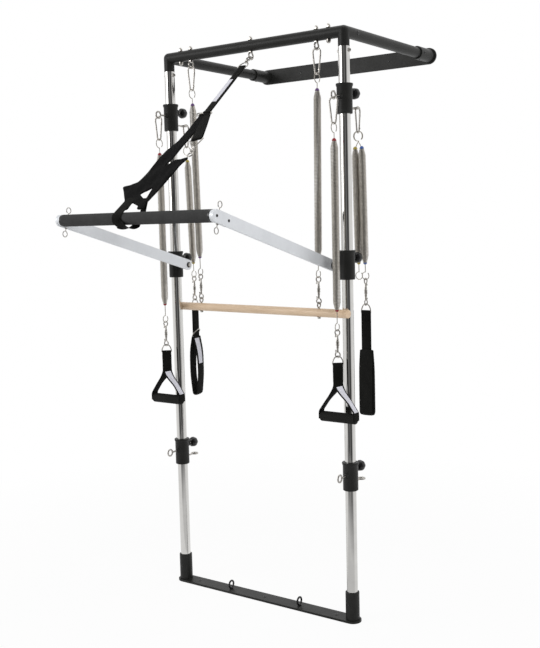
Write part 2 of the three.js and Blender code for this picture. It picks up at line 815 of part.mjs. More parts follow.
// A spring hung from a hook. sway is the direction of the coil, as a run over a drop of one.
function hangSpring(name, point, sizes) {
  const { length, lowerStem, turn = 0, ringOffset = 0, eyeTurn = 0, sway = [0, 0] } = sizes;
  const down = at(sway[0], sway[1], -1).normalize();
  const aim = new THREE.Quaternion().setFromUnitVectors(at(0, 0, -1), down);
  const shape = spring(name, { ...sizes, ringOffset, eyeTurn });
  const mesh = add(name, shape, finishes.spring);
  mesh.quaternion.copy(aim).multiply(new THREE.Quaternion().setFromAxisAngle(alongZ, turn));
  const ringTop = at(ringOffset, 0, 2 * springRingRadius + springStem).applyQuaternion(mesh.quaternion);
  mesh.position.copy(point).add(at(0, 0, hookWire + springWire + linkGap)).sub(ringTop);
  return mesh.position.clone().addScaledVector(down, length + lowerStem + 2 * lowerEyeRadius);
}

function hangSnap(name, point, turn) {
  const snap = add(name, doubleSnap(), finishes.steel);
  snap.position.copy(point).add(at(0, 0, springWire + snapWire + linkGap));
  snap.rotation.z = turn;
  return snap.position.clone().add(at(0, 0, 2 * snapWire - snapHeight));
}

// The strap's own hook: a jaw that hangs in the crossbar's eye, a barrel and a wide D-ring.
// Its origin is at the middle of its top wire.
function strapHook() {
  const barrelTop = snapWire - 2 * snapJawRadius;
  const ringTop = -2 * snapJawRadius - strapBarrelLength;
  return join([
    ring(at(0, 0, -snapJawRadius), alongY, snapJawRadius, snapWire),
    rod(at(0, 0, ringTop - ringWire), at(0, 0, barrelTop - snapWire), snapBarrelRadius, barrelSides),
    dRing(strapRingHalfWidth).translate(0, 0, ringTop),
  ]);
}

// A strap of even width from its side outline, with the outline's plane upright along local X.
function sideStrap(shape, width) {
  const strap = slab(shape, width).rotateX(Math.PI / 2);
  return strap.translate(0, width * halfShare, 0);
}

// A handle: a D-ring, a sewn neck, two legs and a core through the grip. Its origin is the D-ring's top.
function handleStrap() {
  const endX = gripLength * halfShare + gap;
  const gripZ = -handleDrop;
  const legTop = gripZ + gripRadius + webbing;
  const legEnd = gripZ - gripCore;
  const neckZ = -handleNeck;
  const outline = new THREE.Shape();
  outline.moveTo(-webbing, ringWire * 2 - ringHeight);
  outline.lineTo(-webbing, neckZ);
  outline.lineTo(-endX - webbing, legTop);
  outline.lineTo(-endX - webbing, legEnd);
  outline.lineTo(-endX, legEnd);
  outline.lineTo(-endX, legTop);
  outline.lineTo(0, neckZ - webbing * 2);
  outline.lineTo(endX, legTop);
  outline.lineTo(endX, legEnd);
  outline.lineTo(endX + webbing, legEnd);
  outline.lineTo(endX + webbing, legTop);
  outline.lineTo(webbing, neckZ);
  outline.lineTo(webbing, ringWire * 2 - ringHeight);
  outline.closePath();
  const core = rod(at(-endX - webbing, 0, gripZ), at(endX + webbing, 0, gripZ), gripCore);
  const fold = rod(
    at(0, -handleWebWidth * halfShare, -ringHeight),
    at(0, handleWebWidth * halfShare, -ringHeight), ringWire + webbing,
  );
  return join([sideStrap(outline, handleWebWidth), core, fold, dRing().rotateZ(Math.PI / 2)]);
}

function grip() {
  const end = at(gripLength * halfShare, 0, 0);
  const start = end.clone().negate();
  return join([rod(start, end, gripRadius, gripSides)], [bore(start, end, gripCore)]);
}

// A foot strap: a D-ring, a webbing neck and a padded loop. Its origin is the D-ring's top.
// Its width runs along local Y.
function footStrap() {
  const neckTop = -ringHeight;
  const padTop = neckTop - footWebLength;
  const neck = rectangle(-webbing, padTop - footPadThickness, webbing, neckTop);
  const outer = padOutline(padTop, footPadDepth * halfShare);
  const inner = padOutline(padTop - footPadThickness * 2, footPadDepth * halfShare - footPadThickness);
  outer.holes.push(inner);
  const fold = rod(
    at(0, -footWebWidth * halfShare, neckTop),
    at(0, footWebWidth * halfShare, neckTop), ringWire + webbing,
  );
  return join([
    sideStrap(neck, footWebWidth), sideStrap(outer, footPadWidth), fold, dRing().rotateZ(Math.PI / 2),
  ]);
}

// A loop's outline in the XY plane: pointed at the top, round at the bottom.
function padOutline(top, depth) {
  const bottom = -ringHeight - footWebLength - footPadLength + footPadDepth * halfShare;
  const shape = new THREE.Shape();
  const shoulder = top - (top - bottom) * footShoulderShare;
  shape.moveTo(0, top);
  shape.lineTo(-depth, shoulder);
  shape.lineTo(-depth, bottom);
  shape.absarc(0, bottom, depth, Math.PI, 2 * Math.PI, false);
  shape.lineTo(depth, shoulder);
  shape.closePath();
  return shape;
}

// The line in front of each upright: hook, long spring, double snap, handle and grip.
function frontLine({ name, sign }) {
  const eyeBottom = at(sign * half, -frontEyeY, upperCollarZ + frontEyeRise - eyeRadius);
  const hookEnd = hangHook(`${name}_front_hook`, eyeBottom, 0);
  const red = { length: longCoil, lowerStem: longStem, turns: longCoilTurns, turn: Math.PI / 2 };
  const springEnd = hangSpring(`${name}_red_spring`, hookEnd, red);
  const snapEnd = hangSnap(`${name}_handle_snap`, springEnd, Math.PI / 2);
  const point = snapEnd.add(at(0, 0, snapWire + ringWire + linkGap));
  const handle = add(`${name}_handle_strap`, handleStrap(), finishes.webbing);
  handle.position.copy(point);
  const foam = add(`${name}_handle_grip`, grip(), finishes.foam);
  foam.position.copy(point).add(at(0, 0, -handleDrop));
}

// The line behind each upright: a hook, one spring on the left or two on the right, and a double
// snap and foot strap under the outer one. The springs lean back to pass behind the middle knob.
function backLines() {
  const rim = backEyeY + eyeRadius;
  const eyeZ = upperCollarZ - backEyeDrop;
  const knobTop = middleCollarZ + knobRise + knobRadius + knobTravel;
  const clear = knobOuterY + coilRadius + gap - rim;
  const turns = shortCoilTurns;
  for (const { name, sign } of sides) {
    const hookEnd = hangHook(`${name}_back_hook`, at(sign * half, rim, eyeZ), Math.PI / 2);
    const drop = hookEnd.z - knobTop;
    const back = clear / drop;
    const size = { length: shortCoil, lowerStem: shortStem, turns };
    if (name === 'left') {
      const yellow = { ...size, eyeTurn: Math.PI / 2, sway: [singleSway / drop, back] };
      footLine(name, hangSpring('left_yellow_spring', hookEnd, yellow), Math.PI / 2);
    } else {
      const splay = coilRadius + gap;
      const blue = { ...size, ringOffset: -splay, sway: [0, back] };
      const yellow = { ...size, ringOffset: splay, sway: [0, back] };
      const front = hookEnd.clone().add(at(0, -pairPitch * halfShare, 2 * linkGap));
      const rear = hookEnd.clone().add(at(0, pairPitch * halfShare, 2 * linkGap));
      footLine(name, hangSpring('right_blue_spring', front, blue), 0);
      hangSpring('right_yellow_spring', rear, yellow);
    }
  }
}

// A snap and a foot strap under a spring. The strap's width is square to the snap's rings.
function footLine(name, springEnd, turn) {
  const snapEnd = hangSnap(`${name}_foot_snap`, springEnd, turn);
  const strap = add(`${name}_foot_strap`, footStrap(), finishes.webbing);
  strap.position.copy(snapEnd).add(at(0, 0, snapWire + ringWire + linkGap));
  strap.rotation.z = turn + Math.PI / 2;
}

// Roll-down bar

// The points where the two roll-down eyes stand, on the bar's slanted axis.
function dowelPoint(along) {
  const slant = Math.asin(dowelY / half);
  return at(along * Math.cos(slant), -along * Math.sin(slant), dowelZ);
}

function rollDownBar() {
  const end = dowelLength * halfShare;
  const cutters = [];
  for (const { sign } of sides) {
    const point = dowelPoint(sign * dowelEyeSpacing);
    const reach = at(0, 0, dowelRadius);
    cutters.push(bore(point.clone().sub(reach), point.clone().add(reach), dowelShankRadius));
  }
  const bar = rod(dowelPoint(-end), dowelPoint(end), dowelRadius, gripSides);
  add('roll_down_bar', join([bar], cutters), finishes.wood);
  for (const { name, sign } of sides) {
    const place = dowelPoint(sign * dowelEyeSpacing);
    const eyebolt = add(`${name}_roll_eyebolt`, rollEyebolt(), finishes.steel);
    eyebolt.position.copy(place);
    rollLine(name, sign, place);
  }
}

// An eyebolt through the wooden bar, with a nut under it. Its origin is on the bar's axis.
function rollEyebolt() {
  const eyeZ = dowelRadius + gap + dowelEyeRadius + dowelEyeWire;
  const nutTop = -dowelRadius - gap;
  const nut = [[0, 0], [dowelNutRadius, 0], [dowelNutRadius, dowelNutHeight], [0, dowelNutHeight]];
  return join([
    ring(at(0, 0, eyeZ), alongX, dowelEyeRadius, dowelEyeWire),
    rod(at(0, 0, nutTop - overrun), at(0, 0, eyeZ - dowelEyeRadius), dowelShankRadius),
    turned(nut, at(0, 0, nutTop), at(0, 0, -1), nutSides),
  ]);
}

// A hook on the crossbar, a long spring, and a double snap that reaches down to the bar's eye.
function rollLine(name, sign, place) {
  const eyeBottom = at(sign * innerEyeSpacing, 0, barEyeZ - eyeRadius);
  const hookEnd = hangHook(`${name}_roll_hook`, eyeBottom, 0);
  const eyeTop = place.z + dowelRadius + gap + 2 * dowelEyeRadius + dowelEyeWire;
  const snapBottom = eyeTop - dowelEyeWire - snapWire - linkGap;
  const snapTop = snapBottom + snapHeight - 2 * snapWire;
  const springEnd = snapTop - springWire - snapWire - linkGap;
  const drop = hookEnd.z - springEnd;
  const sway = [(place.x - hookEnd.x) / drop, (place.y - hookEnd.y) / drop];
  const reach = 2 * springRingRadius + springStem + longStem + 2 * lowerEyeRadius;
  const top = hookEnd.clone().add(at(0, 0, hookWire + springWire + linkGap));
  const length = top.distanceTo(at(place.x, place.y, springEnd)) - reach;
  const purple = { length, lowerStem: longStem, turns: longCoilTurns, turn: Math.PI / 2, sway };
  hangSpring(`${name}_purple_spring`, hookEnd, purple);
  const snap = add(`${name}_roll_snap`, doubleSnap(), finishes.steel);
  snap.position.set(place.x, place.y, snapTop);
  snap.rotation.z = Math.PI / 2;
}

// Safety strap, from the middle eye of the crossbar to the push-through bar

// A place in the YZ plane, a distance along a line from a start.
function along([y, z], way, distance) {
  return at(0, y + way.x * distance, z + way.y * distance);
}

function direction(from, to) {
  return new THREE.Vector2(to[0] - from[0], to[1] - from[1]).normalize();
}

// A strip of webbing round a wire at both ends, along local Y from the first wire to the second.
function foldedStrip(length, width, wires) {
  const side = width * halfShare;
  const pieces = [slab(rectangle(-side, 0, side, length), webbing).translate(0, 0, -webbing * halfShare)];
  const cutters = [];
  wires.forEach((wire, end) => {
    const span = [-side, side].map((x) => at(x, end * length, 0));
    pieces.push(rod(...span, wire + linkGap + webbing));
    cutters.push(bore(...span, wire));
  });
  return join(pieces, cutters);
}

// The plane of a strap that runs along a way in the YZ plane: local Y is down the strap.
function strapPlane(origin, way) {
  const down = at(0, way.x, way.y);
  const out = alongX.clone().cross(down);
  return new THREE.Matrix4().makeBasis(alongX, down, out).setPosition(origin);
}

function safetyStrap() {
  const slideAt = [-slideY, slideZ];
  const eyeAt = [0, barEyeZ];
  const loopTop = [-barReach, barZ + barRadius + gap + webbing];
  const lowerWay = direction(slideAt, loopTop);
  const topBar = along(slideAt, lowerWay, slideWire * 2 - slideHeight);
  const upperWay = direction(eyeAt, [topBar.y, topBar.z]);
  upperStrap(eyeAt, upperWay, Math.hypot(topBar.y - eyeAt[0], topBar.z - eyeAt[1]));
  const plane = strapPlane(along(slideAt, lowerWay, 0), lowerWay);
  add('strap_slide', strapSlide().applyMatrix4(plane), finishes.steel);
  const length = Math.hypot(loopTop[0] - slideAt[0], loopTop[1] - slideAt[1]);
  lowerStrap(plane, length);
}

// The hook in the crossbar's eye and the webbing from it to the slide's upper bar.
function upperStrap(eyeAt, way, reach) {
  const hookStart = eyeRadius - eyeWire - snapWire - linkGap;
  const foldAt = hookStart + 2 * snapJawRadius + strapBarrelLength + ringHeight;
  const hook = add('strap_hook', strapHook(), finishes.steel);
  hook.quaternion.setFromUnitVectors(at(0, 0, -1), at(0, way.x, way.y));
  hook.position.copy(along(eyeAt, way, hookStart));
  const web = foldedStrip(reach - foldAt, upperWebWidth, [ringWire, slideWire]);
  add('strap_upper', web.applyMatrix4(strapPlane(along(eyeAt, way, foldAt), way)), finishes.webbing);
}

// The slide: a wire frame with two long bars, its lower bar at the plane's origin.
function strapSlide() {
  const wide = slideHalfWidth;
  const corner = slideWire * 2;
  const top = slideHeight - slideWire * 2;
  const points = [
    [wide - corner, 0], [-wide + corner, 0], [-wide + slideWire, -corner * halfShare],
    [-wide + slideWire, corner * halfShare - top], [-wide + corner, -top], [wide - corner, -top],
    [wide - slideWire, corner * halfShare - top], [wide - slideWire, -corner * halfShare],
  ];
  return wireLoop(points, slideWire).rotateX(Math.PI / 2).rotateZ(Math.PI).translate(-slideOffset, 0, 0);
}

// The sling and its two loops round the bar, with the right branch that its hook hangs from.
function lowerStrap(plane, length) {
  const hookReach = branchLength + branchRingHeight + branchBarrelLength + 2 * snapJawRadius;
  const turn = new THREE.Matrix4().makeRotationZ(-branchTurn).setPosition(branchX, 0, 0);
  const tip = at(0, hookReach, 0).applyMatrix4(turn);
  const pieces = [slingSheet(tip, length), branchSheet(turn)];
  const cutters = [];
  const sleeves = [
    { x: slingTopX, y: 0, width: slingTopWidth, wire: slideWire },
    { x: 0, y: branchLength, width: branchWidth, wire: ringWire, turn },
    { x: 0, y: hookReach, width: tipSleeveWidth, wire: snapWire + 2 * linkGap, turn },
  ];
  for (const { x, y, width, wire, turn: frame = new THREE.Matrix4() } of sleeves) {
    const ends = [-1, 1].map((sign) => at(x + sign * width * halfShare, y, 0));
    pieces.push(rod(...ends, wire + linkGap + webbing).applyMatrix4(frame));
    cutters.push(bore(...ends, wire).applyMatrix4(frame));
  }
  for (const geometry of [...pieces, ...cutters]) geometry.applyMatrix4(plane);
  const loops = [[leftLoopX, leftLoopWidth], [rightLoopX, rightLoopWidth]];
  for (const [x, width] of loops) {
    const from = at(x - width * halfShare, -barReach, barZ);
    pieces.push(rod(from, at(x + width * halfShare, -barReach, barZ), barRadius + gap + webbing, tubeSides));
  }
  cutters.push(bore(at(-slingWidth, -barReach, barZ), at(slingWidth, -barReach, barZ), barRadius, tubeSides));
  add('strap_lower', join(pieces, cutters), finishes.webbing);
  add('strap_swivel', strapSwivel().applyMatrix4(turn).applyMatrix4(plane), finishes.steel);
}

// The sling's flat outline, from the slide to the tops of the loops, with its tip at the hook.
function slingSheet(tip, length) {
  const place = ([x, y]) => new THREE.Vector2(x * slingWidth, y * length);
  const shape = new THREE.Shape([
    new THREE.Vector2(slingTopX - slingTopWidth * halfShare, 0),
    ...slingLeftShares.map(place),
    new THREE.Vector2(leftLoopX - leftLoopWidth * halfShare, length),
    new THREE.Vector2(leftLoopX + leftLoopWidth * halfShare, length),
    ...slingCrotchShares.map(place),
    new THREE.Vector2(rightLoopX - rightLoopWidth * halfShare, length),
    new THREE.Vector2(rightLoopX + rightLoopWidth * halfShare, length),
    ...slingRightShares.map(place),
    new THREE.Vector2(tip.x + tipSleeveWidth * halfShare, tip.y + slingThickness),
    new THREE.Vector2(tip.x - tipSleeveWidth * halfShare, tip.y + slingThickness),
    ...slingTopShares.map(place),
    new THREE.Vector2(branchX, 0),
  ]);
  shape.holes.push(new THREE.Path(slingHoleShares.map(place)));
  return slab(shape, slingThickness).translate(0, 0, -slingThickness * halfShare);
}

// The right branch, which widens from the slide to its ring.
function branchSheet(turn) {
  const low = [-1, 1].map((sign) => at(sign * branchWidth * halfShare, branchLength, 0).applyMatrix4(turn));
  const top = [-1, 1].map((sign) => at(branchX + sign * branchTopWidth * halfShare, 0, 0));
  const shape = new THREE.Shape([top[0], top[1], low[1], low[0]].map(({ x, y }) => new THREE.Vector2(x, y)));
  return slab(shape, webbing).translate(0, 0, -webbing * halfShare);
}

// The three-sided ring, swivel barrel and hook of the right branch, along its local Y.
function strapSwivel() {
  const wide = branchRingHalfWidth;
  const corner = ringWire * 2;
  const low = ringWire - branchRingHeight;
  const outline = [
    [wide - corner, 0], [-wide + corner, 0], [-wide, -corner],
    [-corner, low], [corner, low], [wide, -corner],
  ];
  const jawZ = -branchRingHeight - branchBarrelLength - snapJawRadius;
  const barrelEnd = jawZ + snapJawRadius - snapWire;
  const solid = join([
    wireLoop(outline, ringWire),
    rod(at(0, 0, barrelEnd), at(0, 0, low + ringWire * halfShare), snapBarrelRadius, barrelSides),
    ring(at(0, 0, jawZ), alongY, snapJawRadius, snapWire),
  ]);
  return solid.rotateX(Math.PI / 2).translate(0, branchLength, 0);
}

// Assembly

function frame() {
  add('top_frame', topFrame(), finishes.blackPaint);
  add('floor_base', floorBase(), finishes.blackPaint);
  add('wall_plate', wallPlate(), finishes.blackPaint).position.set(0, frameDepth + plateThickness, beamZ);
  for (const { name, sign } of sides) {
    add(`${name}_upright`, upright(), finishes.chrome).position.setX(sign * half);
  }
  const names = ['left_outer', 'left', 'middle', 'right', 'right_outer'];
  crossbarEyes().forEach((x, index) => {
    add(`${names[index]}_eyebolt`, crossbarEyebolt(), finishes.steel).position.set(x, 0, beamZ);
  });
}

frame();
collars();
pushThroughBar();
for (const side of sides) frontLine(side);
backLines();
rollDownBar();
safetyStrap();

export default tower;
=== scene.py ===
"""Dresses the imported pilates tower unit: smooth tubes, close-wound springs, webbing and finishes.

Sizes are in millimetres in the part's own frame: +X right, +Y to the wall, +Z up, with the origin
on the floor midway between the uprights. Meshes are written in metres.
"""

import logging
import math
from collections.abc import Callable, Iterable, Sequence
from dataclasses import dataclass, field
from enum import Enum

import bpy
import numpy as np
from mathutils import Matrix, Vector
from mathutils.geometry import delaunay_2d_cdt

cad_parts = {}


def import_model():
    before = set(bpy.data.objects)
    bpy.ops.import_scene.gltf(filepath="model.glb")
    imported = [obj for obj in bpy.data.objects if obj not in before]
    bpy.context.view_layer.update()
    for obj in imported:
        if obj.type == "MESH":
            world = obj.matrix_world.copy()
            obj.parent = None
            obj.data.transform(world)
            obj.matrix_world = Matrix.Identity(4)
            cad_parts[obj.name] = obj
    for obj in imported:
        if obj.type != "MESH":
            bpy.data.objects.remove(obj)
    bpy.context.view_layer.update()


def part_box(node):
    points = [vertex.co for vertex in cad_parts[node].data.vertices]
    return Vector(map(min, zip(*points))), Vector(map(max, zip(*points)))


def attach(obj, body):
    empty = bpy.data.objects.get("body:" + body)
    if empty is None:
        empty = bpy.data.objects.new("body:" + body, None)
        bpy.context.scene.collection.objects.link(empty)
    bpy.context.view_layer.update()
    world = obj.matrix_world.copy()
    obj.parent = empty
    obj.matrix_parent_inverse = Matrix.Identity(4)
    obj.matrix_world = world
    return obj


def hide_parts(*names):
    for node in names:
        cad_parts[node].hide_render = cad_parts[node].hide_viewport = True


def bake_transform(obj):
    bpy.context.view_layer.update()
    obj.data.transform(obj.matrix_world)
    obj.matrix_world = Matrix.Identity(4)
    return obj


log = logging.getLogger("pilates_tower")

MM = 0.001
TAU = 2 * math.pi
Point = Sequence[float]
Outline = list[tuple[float, float]]

X_AXIS = Vector((1, 0, 0))
Y_AXIS = Vector((0, 1, 0))
Z_AXIS = Vector((0, 0, 1))

# Middle of the unit to the axis of an upright
HALF = 373.0
# Middle of the unit to the eyes that hold the wooden bar's springs
INNER_EYE = 269.0
# Radius of the frame's tubes and of the push-through bar's foam
TUBE = 19.05
# Inside radius of the sockets and the collars
BORE = 19.35
# Heights of the crossbar's axis and of the centres of the eyes under it
BEAM_Z = 1980.95
EYE_Z = 1946.65
# Uprights to the push-through bar at rest, and heights of the bar and its pivots
BAR_REACH = 619.0
BAR_Z = 1392.0
PIVOT_Z = 1223.0


class Side(Enum):
    """The two sides of the unit, as seen from the room."""

    LEFT = -1
    RIGHT = 1

    @property
    def label(self) -> str:
        """The side's word in node and body names."""
        return self.name.lower()


class Level(Enum):
    """Heights of the middles of the three pairs of collars, in mm."""

    UPPER = 1766.0
    MIDDLE = 1225.0
    LOWER = 510.0

    @property
    def label(self) -> str:
        """The level's word in node and body names."""
        return self.name.lower()


class TipColour(Enum):
    """Colours of the wrap that shows a spring's strength."""

    RED = (0.30, 0.02, 0.03, 1)
    PURPLE = (0.16, 0.07, 0.24, 1)
    YELLOW = (0.48, 0.38, 0.07, 1)
    BLUE = (0.05, 0.12, 0.38, 1)


# Shader node groups


@dataclass
class NodeBench:
    """Adds and links nodes in one tree.

    Args:
        tree: The node tree that is filled.
        effects: The shared node groups, for a finish's tree.
    """

    tree: bpy.types.NodeTree
    effects: "Effects | None" = None

    def feed(self, socket: bpy.types.NodeSocket, value: object) -> None:
        """Links an input to another socket, or sets its value.

        Args:
            socket: The input.
            value: The socket that it is linked to, or its value.
        """
        if isinstance(value, bpy.types.NodeSocket):
            self.tree.links.new(value, socket)
        else:
            socket.default_value = value

    def fill(self, node: bpy.types.Node, **settings: object) -> None:
        """Sets a node's properties and feeds its inputs.

        Args:
            node: The node.
            **settings: A property's value, or a value or a socket for the input of that name.
        """
        for key, value in settings.items():
            if hasattr(node, key):
                setattr(node, key, value)
            else:
                self.feed(node.inputs[key.replace("_", " ")], value)

    def add(self, kind: str, **settings: object) -> bpy.types.Node:
        """Adds a node.

        Args:
            kind: Blender's name of the node type.
            **settings: What the node is filled with.

        Returns:
            The new node.
        """
        node = self.tree.nodes.new(kind)
        self.fill(node, **settings)
        return node

    def wire(self, kind: str, *values: object, **settings: object) -> bpy.types.NodeSocket:
        """Adds a node whose first inputs are fed in order.

        Args:
            kind: Blender's name of the node type.
            *values: A value or a socket for each of the first inputs.
            **settings: What else the node is filled with.

        Returns:
            The node's first output.
        """
        node = self.add(kind, **settings)
        for socket, value in zip(node.inputs, values):
            self.feed(socket, value)
        return node.outputs[0]

    @property
    def place(self) -> bpy.types.NodeSocket:
        """A new socket with the place on the object, in metres."""
        return self.add("ShaderNodeTexCoord").outputs["Object"]

    def maths(self, operation: str, *values: object) -> bpy.types.NodeSocket:
        """Returns the result of a maths node."""
        return self.wire("ShaderNodeMath", *values, operation=operation)

    def spread(self, value: bpy.types.NodeSocket, *ends: object) -> bpy.types.NodeSocket:
        """Returns a value mapped from the first two ends to the last two."""
        return self.wire("ShaderNodeMapRange", value, *ends)

    def mixed(
        self, factor: object, first: object, second: object, blend: str = "MIX"
    ) -> bpy.types.NodeSocket:
        """Mixes two colours.

        Args:
            factor: Share of the second.
            first: The first colour.
            second: The second colour.
            blend: Blender's name of the way they mix.

        Returns:
            The mixed colour's socket.
        """
        settings = {"data_type": "RGBA", "blend_type": blend, "Factor": factor, "A": first, "B": second}
        return self.add("ShaderNodeMix", **settings).outputs["Result"]

    def ramp(self, stops: Sequence[tuple[float, float]], fac: bpy.types.NodeSocket) -> bpy.types.NodeSocket:
        """Adds a grey colour ramp.

        Args:
            stops: Pairs of position and grey level, in rising order.
            fac: What the ramp is read at.

        Returns:
            The grey's socket.
        """
        node = self.add("ShaderNodeValToRGB", Fac=fac)
        elements = node.color_ramp.elements
        for index, (place, level) in enumerate(stops):
            element = elements[index] if index < 2 else elements.new(place)
            element.position = place
            element.color = (level, level, level, 1)
        return node.outputs["Color"]

    def bump(self, height: object, distance: float, strength: float = 1.0) -> bpy.types.NodeSocket:
        """Returns the normal of a height whose full step is the distance, in metres."""
        return self.wire("ShaderNodeBump", Height=height, Distance=distance, Strength=strength)

    def group(self, name: str, **values: object) -> bpy.types.Node:
        """Returns a new node of a shared group, with its inputs fed."""
        return self.add("ShaderNodeGroup", node_tree=self.effects.get(name), **values)


@dataclass
class Effects:
    """The shader node groups that the finishes share, each built once.

    Args:
        made: The groups made so far, by name.
    """

    made: dict[str, bpy.types.NodeTree] = field(default_factory=dict)

    def get(self, name: str) -> bpy.types.NodeTree:
        """Gives a group by name, and builds it on first use.

        Args:
            name: The group's name.

        Returns:
            The group's tree.
        """
        if name not in self.made:
            getattr(self, f"_{name}")()
        return self.made[name]

    def _start(
        self, name: str, outputs: Sequence[str], **inputs: object
    ) -> tuple[NodeBench, bpy.types.NodeOutputs]:
        """Makes an empty group.

        Args:
            name: The group's name.
            outputs: Names of its outputs: Color is a colour, the others are values.
            **inputs: Default of each input: a number, a vector or a colour.

        Returns:
            The bench for its nodes, and the sockets that give its inputs.
        """
        kinds = {1: "NodeSocketFloat", 3: "NodeSocketVector", 4: "NodeSocketColor"}
        tree = bpy.data.node_groups.new(name, "ShaderNodeTree")
        self.made[name] = tree
        for label, value in inputs.items():
            kind = kinds[np.size(value)]
            tree.interface.new_socket(label, in_out="INPUT", socket_type=kind).default_value = value
        for label in outputs:
            kind = kinds[4 if label == "Color" else 1]
            tree.interface.new_socket(label, in_out="OUTPUT", socket_type=kind)
        bench = NodeBench(tree)
        return bench, bench.add("NodeGroupInput").outputs

    def _mottle(self) -> None:
        """Two close colours mixed by cloudy noise."""
        colours = {"Light": (0.5, 0.5, 0.5, 1), "Dark": (0.4, 0.4, 0.4, 1)}
        bench, given = self._start("mottle", ["Color"], **colours, Scale=20.0)
        noise = bench.wire("ShaderNodeTexNoise", bench.place, Scale=given["Scale"], Detail=6.0, Roughness=0.6)
        cloud = bench.ramp([(0.32, 0.0), (0.68, 1.0)], noise)
        bench.add("NodeGroupOutput", Color=bench.mixed(cloud, given["Dark"], given["Light"]))

    def _peel(self) -> None:
        """Fine orange-peel height, as on sprayed or moulded skins."""
        bench, given = self._start("peel", ["Height"], Scale=600.0)
        noise = bench.wire("ShaderNodeTexNoise", bench.place, Scale=given["Scale"], Detail=3.0, Roughness=0.5)
        bench.add("NodeGroupOutput", Height=noise)

    def _scuffs(self) -> None:
        """Long fine streaks along one axis, for wiped chrome, brushed plate and worn paint."""
        bench, given = self._start("scuffs", ["Value", "Height"], Stretch=(1.0, 1.0, 1.0), Low=0.2, High=0.4)
        stretched = bench.wire("ShaderNodeVectorMath", bench.place, given["Stretch"], operation="MULTIPLY")
        noise = bench.wire("ShaderNodeTexNoise", stretched, Scale=1.0, Detail=5.0, Roughness=0.65)
        value = bench.spread(noise, 0.0, 1.0, given["Low"], given["High"])
        bench.add("NodeGroupOutput", Value=value, Height=noise)

    def _weave(self) -> None:
        """Crossed threads on the piece's own map: a mask, light on their crowns, for their bump and the
        painted shade between them.
        """
        bench, given = self._start("weave", ["Mask"], Across=900.0, Along=900.0)
        split = bench.add("ShaderNodeSeparateXYZ", Vector=bench.wire("ShaderNodeUVMap")).outputs
        waves = [
            bench.maths("SINE", bench.maths("MULTIPLY", split[axis], given[scale]))
            for axis, scale in (("X", "Across"), ("Y", "Along"))
        ]
        mask = bench.maths("MULTIPLY_ADD", bench.maths("MULTIPLY", *waves), 0.5, 0.5)
        bench.add("NodeGroupOutput", Mask=mask)

    def _pores(self) -> None:
        """Small open cells, as in the skin of foam."""
        bench, given = self._start("pores", ["Height"], Scale=500.0)
        cells = bench.wire("ShaderNodeTexVoronoi", bench.place, Scale=given["Scale"])
        bench.add("NodeGroupOutput", Height=bench.ramp([(0.08, 0.0), (0.45, 1.0)], cells))

    def _grain(self) -> None:
        """Wood grain along X: long rings and short darker flecks."""
        colours = {"Light": (0.8, 0.6, 0.4, 1), "Dark": (0.6, 0.4, 0.25, 1), "Fleck": (0.4, 0.25, 0.14, 1)}
        bench, given = self._start("grain", ["Color", "Height"], **colours)
        long = bench.wire("ShaderNodeMapping", bench.place, Scale=(3.0, 60.0, 60.0))
        short = bench.wire("ShaderNodeMapping", bench.place, Scale=(90.0, 1400.0, 1400.0))
        rings = bench.wire("ShaderNodeTexNoise", long, Scale=1.6, Detail=8.0, Roughness=0.6)
        flecks = bench.wire("ShaderNodeTexNoise", short, Scale=1.0, Detail=2.0)
        body = bench.mixed(bench.ramp([(0.35, 0.0), (0.65, 1.0)], rings), given["Dark"], given["Light"])
        full = bench.mixed(bench.ramp([(0.6, 0.0), (0.72, 0.6)], flecks), body, given["Fleck"])
        bench.add("NodeGroupOutput", Color=full, Height=rings)


# Finishes


@dataclass(frozen=True)
class Finish:
    """A surface finish: two close colours, how rough and metallic it is, and its fine relief.

    Args:
        name: The material's name.
        light: The lighter colour, linear RGBA.
        dark: The darker colour, linear RGBA.
        roughness: The middle of its roughness.
        metallic: 1 for bare metal.
        cloud_scale: How fine the two colours mix, per metre.
        specular: Strength of its plain reflections.
    """

    name: str
    light: tuple[float, float, float, float]
    dark: tuple[float, float, float, float]
    roughness: float = 0.5
    metallic: float = 0.0
    cloud_scale: float = 25.0
    specular: float = 0.5

    def material(self, effects: Effects) -> bpy.types.Material:
        """Builds the material.

        Args:
            effects: The shared shader node groups.

        Returns:
            The finished material.
        """
        made = bpy.data.materials.new(self.name)
        made.use_nodes = True
        made.diffuse_color = self.light
        bench = NodeBench(made.node_tree, effects)
        bench.fill(made.node_tree.nodes["Principled BSDF"], **self.inputs(bench))
        return made

    def colour(self, bench: NodeBench) -> bpy.types.NodeSocket:
        """Returns the base colour's socket."""
        mottle = bench.group("mottle", Light=self.light, Dark=self.dark, Scale=self.cloud_scale)
        return mottle.outputs["Color"]

    def inputs(self, bench: NodeBench) -> dict[str, object]:
        """Gives what the shader's inputs are set or linked to.

        Args:
            bench: The material's bench.

        Returns:
            A value or a socket for each input, by name.
        """
        return {
            "Base_Color": self.colour(bench), "Roughness": self.roughness, "Metallic": self.metallic,
            "Specular_IOR_Level": self.specular,
        }


